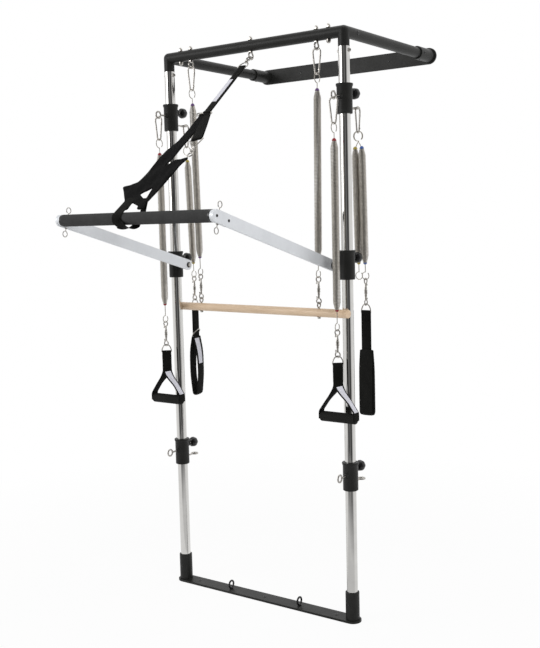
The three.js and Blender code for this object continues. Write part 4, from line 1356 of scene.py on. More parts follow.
@dataclass
class Collars(SubAssembly):
    """The six sliding collars with their clamp knobs.

    Args:
        half: Middle of the unit to the axis of an upright.
        height: Height of a collar.
        radius: Outside radius.
        lip: Radius of the lip at the top.
        bore: Inside radius.
        knob_rise: Middle of the collar up to the knob's axis.
        eye: Radius of the eyes, to the middle of the wire.
        wire: Radius of the eyes' wire.
        front: Upright's axis to the front eye.
        front_rise: Middle of the collar up to the front eye.
        back: Upright's axis to the back eye.
        back_drop: Middle of the collar down to the back eye.
        hub_end: Middle of the unit to the end of the pivot hub.
        hub: Radius of the pivot hub.
    """

    half: float = HALF
    height: float = 97.0
    radius: float = 26.0
    lip: float = 28.4
    bore: float = BORE
    knob_rise: float = 22.0
    eye: float = 12.0
    wire: float = 3.0
    front: float = 70.0
    front_rise: float = 6.0
    back: float = 72.0
    back_drop: float = 25.0
    hub_end: float = 319.3
    hub: float = 14.0

    def build(self) -> None:
        """Builds the collars and knobs of both sides."""
        for side in Side:
            for level in Level:
                place = Matrix.Translation((side.value * self.half, 0, level.value))
                self.collar(side, level, place)
                self.knob(side, level, place @ Matrix.Translation((0, 0, self.knob_rise)))

    def collar(self, side: Side, level: Level, place: Matrix) -> None:
        """Builds one collar.

        Args:
            side: The upright it is on.
            level: Which of the three it is.
            place: The matrix of its middle.
        """
        form = Form().at(place, 0)
        high = self.height / 2
        profile = [
            (self.bore, -high), (self.radius - 1.5, -high), (self.radius, -high + 1.5),
            (self.radius, high - 11), (self.radius + 1, high - 9), (self.lip, high - 5.4),
            (self.lip, high - 1), (self.lip - 1, high), (self.bore, high),
        ]
        form.turned(profile, 56, hollow=True)
        boss = [(13, 22), (13, 26), (11, 28.5), (11, 36), (10, 37), (0, 37)]
        form.turned(boss, 32, Y_AXIS, (0, 0, self.knob_rise))
        if level is Level.MIDDLE:
            length = self.half - self.hub_end - self.radius / 2
            start = (-side.value * self.radius / 2, 0, -2)
            hub = [(self.hub, 0), (self.hub, length - 1), (self.hub - 1, length), (5.3, length), (5.3, 0)]
            form.turned(hub, 40, X_AXIS * -side.value, start, hollow=True)
        else:
            self.eyes(form)
        node = f"{side.label}_{level.label}_collar"
        self.bench.piece(
            f"{node}_body", form, [POWDER_COAT, ZINC], "black_powder_coat",
            f"{side.label}_{level.label}", [node],
        )

    def eyes(self, form: Form) -> None:
        """Adds the front and back eyes with their black cone seats.

        Args:
            form: The form that is added to.
        """
        eyes = [
            (-1, self.front, self.front_rise, X_AXIS),
            (1, self.back, -self.back_drop, Z_AXIS),
        ]
        for sign, reach, rise, axis in eyes:
            out = Y_AXIS * sign
            form.finish = 0
            form.turned([(9, 22.5), (9, 25.5), (7, 29), (4.6, 34), (0, 34)], 28, out, (0, 0, rise))
            form.finish = 1
            form.turned(rod(3, 24, reach - self.eye), 14, out, (0, 0, rise))
            form.ring((0, sign * reach, rise), axis, self.eye, self.wire, 36)

    def knob(self, side: Side, level: Level, place: Matrix) -> None:
        """Builds one lobed ball-like knob on its screw.

        Args:
            side: The upright it is on.
            level: Which of the three it is.
            place: The matrix of its axis, at the upright's middle.
        """
        form = Form().at(place, 0)
        head = [
            (0, 51), (10, 51), (11.5, 52), (15.6, 54.2), (18.2, 58.4), (19.2, 65), (18.2, 71.4),
            (15.4, 76.4), (12, 79), (10.6, 79.4), (9.8, 78.4), (5, 79.2), (0, 79.5),
        ]
        form.turned(head, 70, Y_AXIS, lobes=lambda angle: 1 - 0.055 * (1 - math.cos(7 * angle)) / 2)
        form.finish = 1
        form.turned([(0, 19.4), (4, 19.4), (5, 20.4), (5, 51.5), (0, 51.5)], 20, Y_AXIS)
        node = f"{side.label}_{level.label}_knob"
        self.bench.piece(f"{node}_head", form, [KNOB_PLASTIC, ZINC], "knob_plastic", node, [node])


# Push-through bar


# Stands a slab up along Y, with its thickness along X
ON_EDGE = Matrix(((0, 0, 1, 0), (1, 0, 0, 0), (0, 1, 0, 0), (0, 0, 0, 1)))


@dataclass
class PushThroughBar(SubAssembly):
    """The foam-covered bar between two flat arms.

    Args:
        reach: Uprights to the bar, level.
        bar_z: Height of the bar's axis.
        tilt: Slope of the arms, in radians.
        span: Distance between the arms' inner faces.
        arm_length: Bar's axis to the pivots.
        arm_half: Half the arms' width.
        arm: Thickness of the arms.
        tab: Thickness of the bar's end tabs.
        tab_length: Bar's axis to the tabs' second screw.
        foam: Radius of the foam.
        pivot_z: Height of the pivots.
        pivot_start: Middle of the unit to the pivot bolts' heads.
        eye_rise: Bar's axis to the middles of its small eyes.
    """

    reach: float = BAR_REACH
    bar_z: float = BAR_Z
    tilt: float = math.atan2(BAR_Z - PIVOT_Z, BAR_REACH)
    span: float = 622.0
    arm_length: float = math.hypot(BAR_REACH, BAR_Z - PIVOT_Z)
    arm_half: float = 19.0
    arm: float = 8.0
    tab: float = 6.0
    tab_length: float = 56.0
    foam: float = TUBE
    pivot_z: float = PIVOT_Z
    pivot_start: float = 305.7
    eye_rise: float = 38.5

    @property
    def swung(self) -> Matrix:
        """The bar's own place: X along the bar, Y along the arms to the pivots."""
        return Matrix.Translation((0, -self.reach, self.bar_z)) @ Matrix.Rotation(-self.tilt, 4, "X")

    def build(self) -> None:
        """Builds the bar, the arms and the pivot bolts."""
        self.bar()
        self.arms()
        self.pivots()

    def bar(self) -> None:
        """Builds the foam, its end rings, the tabs and their small eyes."""
        form = Form().at(self.swung, 0)
        inner = self.span / 2 - 0.3
        end = inner - self.tab
        soft = [(0, -end + 5), (18.4, -end + 5), (self.foam, -end + 7)]
        form.turned(mirrored(soft), 56, X_AXIS)
        for side in Side:
            self.tab_and_eyes(form, side.value, inner)
        self.bench.piece(
            "push_bar_foam", form, [BAR_FOAM, KNOB_PLASTIC, ALUMINIUM, ZINC], "foam", "push_bar",
            ["push_through_bar"],
        )

    def tab_and_eyes(self, form: Form, sign: int, inner: float) -> None:
        """Adds one end of the bar.

        Args:
            form: The form that is added to.
            sign: -1 on the left, 1 on the right.
            inner: Middle of the bar to the outer face of the tab.
        """
        form.at(self.swung, 1)
        cap = inner - self.tab
        rim = [(0, cap - 8), (19.0, cap - 8), (19.0, cap - 1), (18, cap), (0, cap)]
        form.turned(rim, 48, X_AXIS * sign)
        low = -inner if sign < 0 else inner - self.tab
        form.at(self.swung @ Matrix.Translation((low, 0, 0)) @ ON_EDGE, 2)
        form.slab(stadium(self.tab_length, 18.0, 14), self.tab)
        form.at(self.swung, 3)
        x = sign * (inner - self.tab / 2)
        for up in (-1, 1):
            form.tube([(x, 20, up * 15.0), (x, 20, up * 29.6)], 1.6, 10)
            start = -math.pi / 2 * up
            path = standing(arc_points(9.2, start, start + up * TAU * 0.93, 22))
            form.tube(path + np.array([x, 20, up * self.eye_rise]), 1.5, 10)
            form.turned(rod(4.2, 0, 3), 6, Z_AXIS * up, (x, 20, up * 18.0))

    def arms(self) -> None:
        """Builds the two flat arms with their screws."""
        for side in Side:
            inner = self.span / 2
            low = -inner - self.arm if side is Side.LEFT else inner
            form = Form().at(self.swung @ Matrix.Translation((low, 0, 0)) @ ON_EDGE, 0)
            form.slab(stadium(self.arm_length, self.arm_half, 20), self.arm)
            form.at(self.swung, 1)
            for along in (0.0, self.tab_length):
                screw_head(form, (side.value * (inner + self.arm), along, 0), X_AXIS * side.value, 4.6, 1.4)
            node = f"{side.label}_push_arm"
            self.bench.piece(
                f"{node}_plate", form, [ALUMINIUM, KNOB_PLASTIC], "aluminium_plate", "push_bar", [node],
                bevel=0.9,
            )

    def pivots(self) -> None:
        """Builds the pivot bolts, with a black washer under each head."""
        for side in Side:
            form = Form().at(Matrix.Translation((side.value * self.pivot_start, 0, self.pivot_z)), 0)
            out = X_AXIS * side.value
            form.turned([(0, 0), (5.4, 0), (7, 1.2), (7, 3), (0, 3)], 32, out)
            form.turned(rod(5, 5, 33), 24, out)
            form.finish = 1
            form.turned([(0, 3), (9.6, 3), (10.5, 3.8), (10.5, 5), (0, 5)], 36, out)
            node = f"{side.label}_pivot_bolt"
            self.bench.piece(
                f"{node}_head", form, [ZINC, KNOB_PLASTIC], "zinc_steel", f"{side.label}_middle", [node],
            )


# Springs and snap hooks


@dataclass
class Spring(SubAssembly):
    """One close-wound extension spring with an open ring above and an eye below.

    Args:
        node: The node that it stands for.
        position: Top of the coil.
        aim: Run of the coil's axis along X and Y over a drop of one.
        length: Length of the coil.
        stem: Bottom of the coil to the eye.
        tip: Colour of the wrapped tip.
        bodies: The body that it hangs on, and the one that pulls it if there is one.
        turn: Turn of the ring about the coil, in radians.
        eye_turn: Turn of the lower eye about the coil, in radians.
        ring_offset: Sideways place of the ring.
        outer: Outside radius of the coil.
        wire: Radius of the coil's wire.
        pitch: Height of a turn.
        taper: Length over which each end narrows.
        end_radius: Radius of the first turn, to the middle of the wire.
        ring: Radius of the open ring.
        eye: Radius of the lower eye.
        top_stem: Top of the coil to the ring.
    """

    node: str
    position: tuple[float, float, float]
    aim: tuple[float, float]
    length: float
    stem: float
    tip: TipColour
    bodies: tuple[str, ...]
    turn: float = math.pi / 2
    eye_turn: float = 0.0
    ring_offset: float = 0.0
    outer: float = 13.3
    wire: float = 2.15
    pitch: float = 4.6
    taper: float = 28.0
    end_radius: float = 3.1
    ring: float = 16.5
    eye: float = 13.0
    top_stem: float = 20.0

    def build(self) -> None:
        """Builds the spring as one wire, with its wrapped tips."""
        aim = Vector((self.aim[0], self.aim[1], -1)).normalized()
        form = Form().at(placed(self.position, self.turn, aim), 0)
        self.winding(form)
        ring_z = self.top_stem + self.ring
        path = arc_points(self.ring, -math.pi / 4, 1.5 * math.pi, 30, (self.ring_offset, 0, ring_z))
        middle = (self.ring_offset / 2, 0, self.top_stem / 2)
        form.tube([*path, middle, (0, 0, -4)], 1.5, 10)
        eye_z = -self.length - self.stem - self.eye
        lower = arc_points(self.eye, -1.5 * math.pi, math.pi / 4, 30, (0, 0, eye_z))
        turn = np.array(Matrix.Rotation(self.eye_turn, 3, "Z"))
        form.tube([(0, 0, -self.length + 4), *(lower @ turn.T)], 1.5, 10)
        form.finish = 1
        form.turned(self.cap(5.5, 0.0, 1), 28, hollow=True)
        form.turned(self.cap(3.0, -self.length, -1), 28, hollow=True)
        finishes = [SPRING_WIRE, tip_finish(self.tip)]
        pulled = len(self.bodies) > 1
        body = None if pulled else self.bodies[0]
        made = self.bench.piece(f"{self.node}_wound", form, finishes, "spring_steel", body, [self.node])
        if pulled:
            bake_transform(made)

    def winding(self, form: Form) -> None:
        """Adds the close-wound coil, which narrows at both ends.

        Args:
            form: The form that is added to.
        """
        turns = round(self.length / self.pitch)
        steps = turns * 10
        down = np.linspace(0, self.length, steps + 1)
        radii = np.array([self.radius_at(step) for step in np.minimum(down, self.length - down)])
        angles = np.linspace(0, TAU * turns, steps + 1)
        form.coil(radii, angles, -down, self.wire)

    def radius_at(self, depth: float) -> float:
        """Returns the coil's radius, to the middle of the wire, at a distance from its end."""
        wide = self.outer - self.wire
        return self.end_radius + (wide - self.end_radius) * clamped(depth / self.taper)**0.8

    def cap(self, reach: float, end: float, sign: int) -> list[tuple[float, float]]:
        """Returns the closed profile of the dipped cap over one end.

        Args:
            reach: How far it comes down over the coil.
            end: Height of the coil's end.
            sign: 1 for the upper end, -1 for the lower end.

        Returns:
            Pairs of radius and height.
        """
        skin = self.wire + 0.35
        sides = [(self.radius_at(reach * step / 4) + skin, -reach * step / 4) for step in range(5)]
        rows = [(2.2, 2.8), (4.0, 2.0), *sides, (self.radius_at(reach) + self.wire - 0.6, -reach - 0.6)]
        rows.append((2.2, -1.0))
        return [(radius, end + sign * height) for radius, height in rows][::sign]


@dataclass
class Link(SubAssembly):
    """One steel link of a hanging line.

    Args:
        node: The node that it stands for.
        position: Middle of the top wire.
        body: The body that it rides on.
        turn: Turn about the vertical, in radians.
    """

    node: str
    position: tuple[float, float, float]
    body: str
    turn: float = 0.0


@dataclass
class SnapHook(Link):
    """A pear snap hook with a sprung gate.

    Args:
        wire: Radius of the wire.
        low: Height of the hook's bottom, below its top.
        top_radius: Radius of the wide upper bend.
        low_radius: Radius of the narrow lower bend.
    """

    wire: float = 2.7
    low: float = -85.0
    top_radius: float = 14.8
    low_radius: float = 7.6

    def build(self) -> None:
        """Builds the bent wire, the gate with its nose and the pivot rivet."""
        form = Form().at(placed(self.position, self.turn), 0)
        top, low = -self.top_radius, self.low + self.low_radius
        lean = math.asin((self.top_radius - self.low_radius) / (top - low))
        upper = arc_points(self.top_radius, -lean, math.pi + lean, 22, (0, 0, top))
        lower = arc_points(self.low_radius, math.pi + lean, TAU - lean, 16, (0, 0, low))
        form.tube([*upper, *lower], self.wire, 12, closed=True)
        gate = upper[0] - lower[-1]
        way = unit(gate)
        pivot = lower[-1] + gate * 0.12
        for middle, radius, length in ((pivot, 3.1, 7.0), (lower[-1] + gate * 0.82, 3.2, 8.0)):
            form.tube([middle - way * length / 2, middle + way * length / 2], radius, 14)
        form.turned(mirrored([(0, -4.2), (1.6, -4.2), (1.9, -3.6)]), 12, Y_AXIS, pivot)
        self.bench.steel(self.node, form, self.body)


@dataclass
class DoubleSnap(Link):
    """A double-ended bolt snap with a swivel in the middle.

    Args:
        height: Overall height.
        wire: Radius of the jaws' wire.
        jaw: Radius of the jaws, to the middle of the wire.
    """

    height: float = 96.0
    wire: float = 2.2
    jaw: float = 9.0

    def build(self) -> None:
        """Builds both jaws, their bolts with thumb pins, and the barrel."""
        form = Form().at(placed(self.position, self.turn), 0)
        end = self.height - 2 * self.wire
        neck = [(0, 0), (2.8, 0), (3.3, 2), (3.3, 12), (4.4, 14), (4.4, 16), (0, 16)]
        pin = [(0, 0), (1.5, 0), (1.5, 3.2), (2.4, 3.4), (2.4, 5), (0, 5.2)]
        for centre, way in ((-self.jaw, -1), (self.jaw - end, 1)):
            form.ring((0, 0, centre), X_AXIS, self.jaw, self.wire, 28)
            root = centre + way * self.jaw
            form.turned(neck, 18, Z_AXIS * way, (0, 0, root))
            bolt_low = (0, self.jaw - 0.4, centre + way * 4)
            bolt_high = (0, self.jaw - 2.8, centre + way * 15)
            form.tube([bolt_low, bolt_high], 1.5, 10)
            form.turned(pin, 12, Y_AXIS, (0, 4.0, root + way * 5))
        barrel = [(0, -17), (3.4, -17), (3.9, -15), (4.0, -8), (5.4, -6.4), (5.4, -1), (4.4, -0.4)]
        form.turned(mirrored(barrel), 24, Z_AXIS, (0, 0, -end / 2))
        self.bench.steel(self.node, form, self.body)


# Handles and foot straps


def d_ring(form: Form, half_width: float = 17.5, height: float = 26.0, wire: float = 2.0) -> None:
    """Adds a D-ring in the YZ plane, its bow up and its bar down.

    Args:
        form: The form that is added to.
        half_width: Half the ring's width.
        height: Height from the bar to the bow.
        wire: Radius of the wire.
    """
    angles = np.linspace(0, math.pi, 19)
    bow = [(0, half_width * math.cos(a), -height + height * math.sin(a)) for a in angles]
    bar = [(0, y, -height) for y in (-half_width * 0.5, 0, half_width * 0.5)]
    form.tube([*bow, *bar], wire, 10, closed=True)


def twisted_strap(
    path: np.ndarray, heights: tuple[float, float], turns: tuple[float, float]
) -> tuple[np.ndarray, np.ndarray]:
    """Spaces a flat path about 4 mm apart and twists it about the Z axis.

    Args:
        path: The path, in the XZ plane.
        heights: Where the twist starts and ends, from low to high.
        turns: The turn below and above these heights, in radians.

    Returns:
        The twisted path, and the webbing's direction at each point.
    """
    even = respaced(path, max(2, int(run_length(path)[-1] // 4)))
    share = np.clip((even[:, 2] - heights[0]) / (heights[1] - heights[0]), 0, 1)
    angles = turns[0] + (turns[1] - turns[0]) * share * share * (3 - 2 * share)
    cos, sin = np.cos(angles), np.sin(angles)
    x, y = even[:, 0], even[:, 1]
    turned = np.column_stack([x * cos - y * sin, x * sin + y * cos, even[:, 2]])
    return turned, np.column_stack([-sin, cos, np.zeros_like(sin)])


@dataclass
class Handle(SubAssembly):
    """A hand strap with a foam grip.

    Args:
        side: The upright it hangs beside.
        top: Height of the D-ring's top wire.
        forward: Upright's axis to the handle's middle.
        drop: D-ring's top to the grip's axis.
        neck: D-ring's top to the start of the legs.
        width: Width of the webbing.
        layer: Thickness of the webbing.
        grip: Radius of the foam grip.
        grip_length: Length of the grip.
        twist: Turn of the neck and its ring to the grip, in radians.
    """

    side: Side
    top: float = 928.8
    forward: float = 70.0
    drop: float = 205.0
    neck: float = 95.0
    width: float = 34.0
    layer: float = 2.4
    grip: float = 17.2
    grip_length: float = 132.0
    twist: float = math.radians(-48)

    def build(self) -> None:
        """Builds the D-ring, the webbing, the blank label and the grip."""
        place = Matrix.Translation((self.side.value * HALF, -self.forward, self.top))
        name = self.side.label
        form = Form().at(place @ Matrix.Rotation(self.twist, 4, "Z"), 1)
        d_ring(form)
        form.at(place, 0)
        self.webbing(form)
        form.finish = 2
        self.label(form)
        strap = self.bench.piece(
            f"{name}_handle_webbing", form, [WEBBING, ZINC, LABEL], "webbing", f"{name}_handle",
            [f"{name}_handle_strap"],
        )
        form = Form().at(place @ Matrix.Translation((0, 0, -self.drop)), 0)
        half = self.grip_length / 2
        profile = [
            (8.3, -half), (14.6, -half), (16.4, -half + 0.8), (self.grip, -half + 2.6),
            (self.grip, -half + 9), (16.6, -half + 10), (self.grip, -half + 11),
        ]
        form.turned(mirrored(profile), 44, X_AXIS, hollow=True)
        made = self.bench.piece(
            f"{name}_grip_foam", form, [GRIP_FOAM], "foam", f"{name}_grip", [f"{name}_handle_grip"],
        )

    def twisted(self, path: np.ndarray) -> tuple[np.ndarray, np.ndarray]:
        """Twists a path less and less toward the grip."""
        return twisted_strap(path, (-155.0, -65.0), (0.0, self.twist))

    def webbing(self, form: Form) -> None:
        """Adds the folded neck, the two legs and the core through the grip.

        Args:
            form: The form that is added to.
        """
        end = self.grip_length / 2 + 1.6
        shoulder = -self.drop + self.grip + 2
        bow = arc_points(2.0 + self.layer / 2 + 0.1, 0, math.pi, 8, (0, 0, -26))
        right = [(end, 0, -self.drop - 7), (end, 0, shoulder), (1.3, 0, -self.neck), (1.3, 0, -36)]
        path = [*fillet([*right, bow[0]], 7.0, 4), *bow[1:-1]]
        left = [(-x, y, z) for x, y, z in reversed(right)]
        path += [*fillet([bow[-1], *left], 7.0, 4)]
        twisted, across = self.twisted(np.array(path))
        form.sweep(twisted, strap_section(self.width, self.layer), across=across)
        sewn = strap_section(self.width + 0.6, self.layer * 2 + 1.4)
        for high in (-40.0, -80.0):
            patch, across = self.twisted(seam(high))
            form.sweep(patch, sewn, across=across)
        form.tube([(-end - 0.6, 0, -self.drop), (end + 0.6, 0, -self.drop)], 7.6, 16)

    def label(self, form: Form) -> None:
        """Adds the blank label on the right leg.

        Args:
            form: The form that is added to.
        """
        end = self.grip_length / 2 + 1.6
        high = np.array([1.3, 0.0, -self.neck])
        low = np.array([end, 0.0, -self.drop + self.grip + 2])
        way = unit(low - high)
        out = np.array([-way[2], 0.0, way[0]])
        start = high + out * (self.layer / 2 + 0.35)
        twisted, across = self.twisted(np.array([start + way * along for along in (8, 60, 110)]))
        form.sweep(twisted, strap_section(self.width * 0.66, 0.6), across=across)


@dataclass
class FootStrap(SubAssembly):
    """A padded foot loop on a webbing neck.

    Args:
        side: The upright it hangs behind.
        top: The D-ring's top wire.
        turn: Turn about the vertical, in radians.
        width: Width of the pad.
        thickness: Thickness of the pad.
        depth: Depth of the loop.
        neck: Length of the webbing neck.
        pad: Length of the loop.
        pad_turn: Turn of the pad below its neck, in radians.
        pad_twist: Turn of the pad's top to its bottom, in radians.
        taper: Depth of the loop's bottom as a share of its middle.
        label_on_pad: Whether the pad carries a blank label and a small ring.
    """

    side: Side
    top: tuple[float, float, float]
    turn: float
    width: float = 50.0
    thickness: float = 8.0
    depth: float = 30.0
    neck: float = 125.0
    pad: float = 235.0
    pad_turn: float = 0.0
    pad_twist: float = 0.0
    taper: float = 1.0
    label_on_pad: bool = False

    def build(self) -> None:
        """Builds the D-ring, the neck, the padded loop and the blank label."""
        name = self.side.label
        form = Form().at(placed(self.top, self.turn), 1)
        d_ring(form)
        form.finish = 0
        pad_top = -26 - self.neck
        bow = arc_points(3.4, 0, math.pi, 8, (0, 0, -26))
        path = [(1.3, 0, pad_top - 10), (1.3, 0, -34), *bow, (-1.3, 0, -34), (-1.3, 0, pad_top - 10)]
        form.sweep(np.array(path), strap_section(36, 2.4), across=(0, 1, 0))
        sewn = strap_section(36.6, 6.2)
        for high in (-40.0, -92.0):
            form.sweep(seam(high, 15), sewn, across=(0, 1, 0))
        turned = placed(self.top, self.turn + self.pad_turn)
        if self.label_on_pad:
            form.at(turned, 2)
            limb = self.limb(pad_top) * np.array([-1, 1, 1])
            chosen = limb[(limb[:, 2] < pad_top - 8) & (limb[:, 2] > pad_top - 116)]
            chosen = chosen - np.array([self.thickness / 2 + 0.3, 0, 0])
            label, across = self.twisted(chosen, pad_top)
            form.sweep(label + across * 7.0, strap_section(28, 0.6), across=across)
            form.finish = 1
            form.ring((0, 0, pad_top + 5), Vector((0.77, 0, 0.64)), 21.0, 1.6, 36)
        self.bench.piece(
            f"{name}_foot_neck", form, [WEBBING, ZINC, LABEL], "webbing", f"{name}_foot",
        )
        loop = Form().at(turned, 0)
        self.loop(loop, pad_top)
        made = self.bench.piece(
            f"{name}_foot_pad", loop, [PAD_CLOTH], "webbing", f"{name}_foot", [f"{name}_foot_strap"],
            smooth_levels=1,
        )

    def limb(self, pad_top: float) -> np.ndarray:
        """Returns the path of one limb, from the loop's pointed top to the start of its bend.

        Args:
            pad_top: Height of the loop's pointed top.

        Returns:
            Points in the XZ plane.
        """
        deep = self.depth / 2 - self.thickness / 2
        bottom = pad_top - self.pad + self.depth * self.taper / 2
        apex = pad_top - self.thickness * 0.7
        corners = [
            (2.2, 0, apex), (deep * 0.92, 0, apex - 60), (deep, 0, bottom + 70),
            (deep * self.taper, 0, bottom),
        ]
        return respaced(fillet(corners, 30.0, 6), 30)

    def twisted(self, path: np.ndarray, pad_top: float) -> tuple[np.ndarray, np.ndarray]:
        """Twists a path on the pad, most at its top."""
        return twisted_strap(path, (pad_top - self.pad * 0.6, pad_top), (0.0, self.pad_twist))

    def loop(self, form: Form, pad_top: float) -> None:
        """Adds the padded loop.

        Args:
            form: The form that is added to.
            pad_top: Height of the loop's pointed top.
        """
        right = self.limb(pad_top)
        deep, _, bottom = right[-1]
        turn = arc_points(deep, 0, -math.pi, 10, (0, 0, bottom))
        left = right[::-1] * np.array([-1, 1, 1])
        path, across = self.twisted(np.vstack([right, turn[1:-1], left]), pad_top)
        path[:, 0] += np.sin(np.arange(len(path)) * 1.7) * 0.3
        form.sweep(path, strap_section(self.width, self.thickness - 0.4, 0.6), across=across)


# Roll-down bar


@dataclass
class RollDownBar(SubAssembly):
    """The wooden bar with its two eyebolts.

    Args:
        radius: Radius of the bar.
        length: Length of the bar.
        height: Height of its axis.
        slant: Angle of the bar to X, in radians.
        eye_spacing: Middle of the bar to each eye.
        eye: Radius of the eyes, to the middle of the wire.
        wire: Radius of the eyes' wire.
    """

    radius: float = 14.5
    length: float = 800.0
    height: float = 1065.0
    slant: float = math.asin((TUBE + 14.5 + 1.2) / HALF)
    eye_spacing: float = 277.0
    eye: float = 9.0
    wire: float = 2.5

    def point(self, along: float) -> tuple[float, float, float]:
        """Returns a place on the bar's axis, a distance from its middle."""
        return (along * math.cos(self.slant), -along * math.sin(self.slant), self.height)

    def build(self) -> None:
        """Builds the bar and its eyebolts."""
        form = Form()
        half = self.length / 2
        profile = [
            (0, -half), (self.radius - 3, -half), (self.radius - 0.8, -half + 1.2),
            (self.radius, -half + 3.6),
        ]
        axis = Vector((math.cos(self.slant), -math.sin(self.slant), 0))
        form.turned(mirrored(profile), 48, axis, (0, 0, self.height))
        self.bench.piece("roll_bar_wood", form, [BEECH], "beech", "roll_bar", ["roll_down_bar"])
        for side in Side:
            form = Form().at(Matrix.Translation(self.point(side.value * self.eye_spacing)), 0)
            eye_z = self.radius + 0.3 + self.eye + self.wire
            form.ring((0, 0, eye_z), X_AXIS, self.eye, self.wire, 28)
            form.turned(rod(3, -16.5, eye_z - self.eye), 14)
            form.turned([(0, -20.6), (4.6, -20.6), (6, -19.8), (6, -15.4), (0, -15.4)], 6)
            form.turned(rod(8, -14.9, -14.3), 24)
            self.bench.steel(f"{side.label}_roll_eyebolt", form, "roll_bar")


# Safety strap


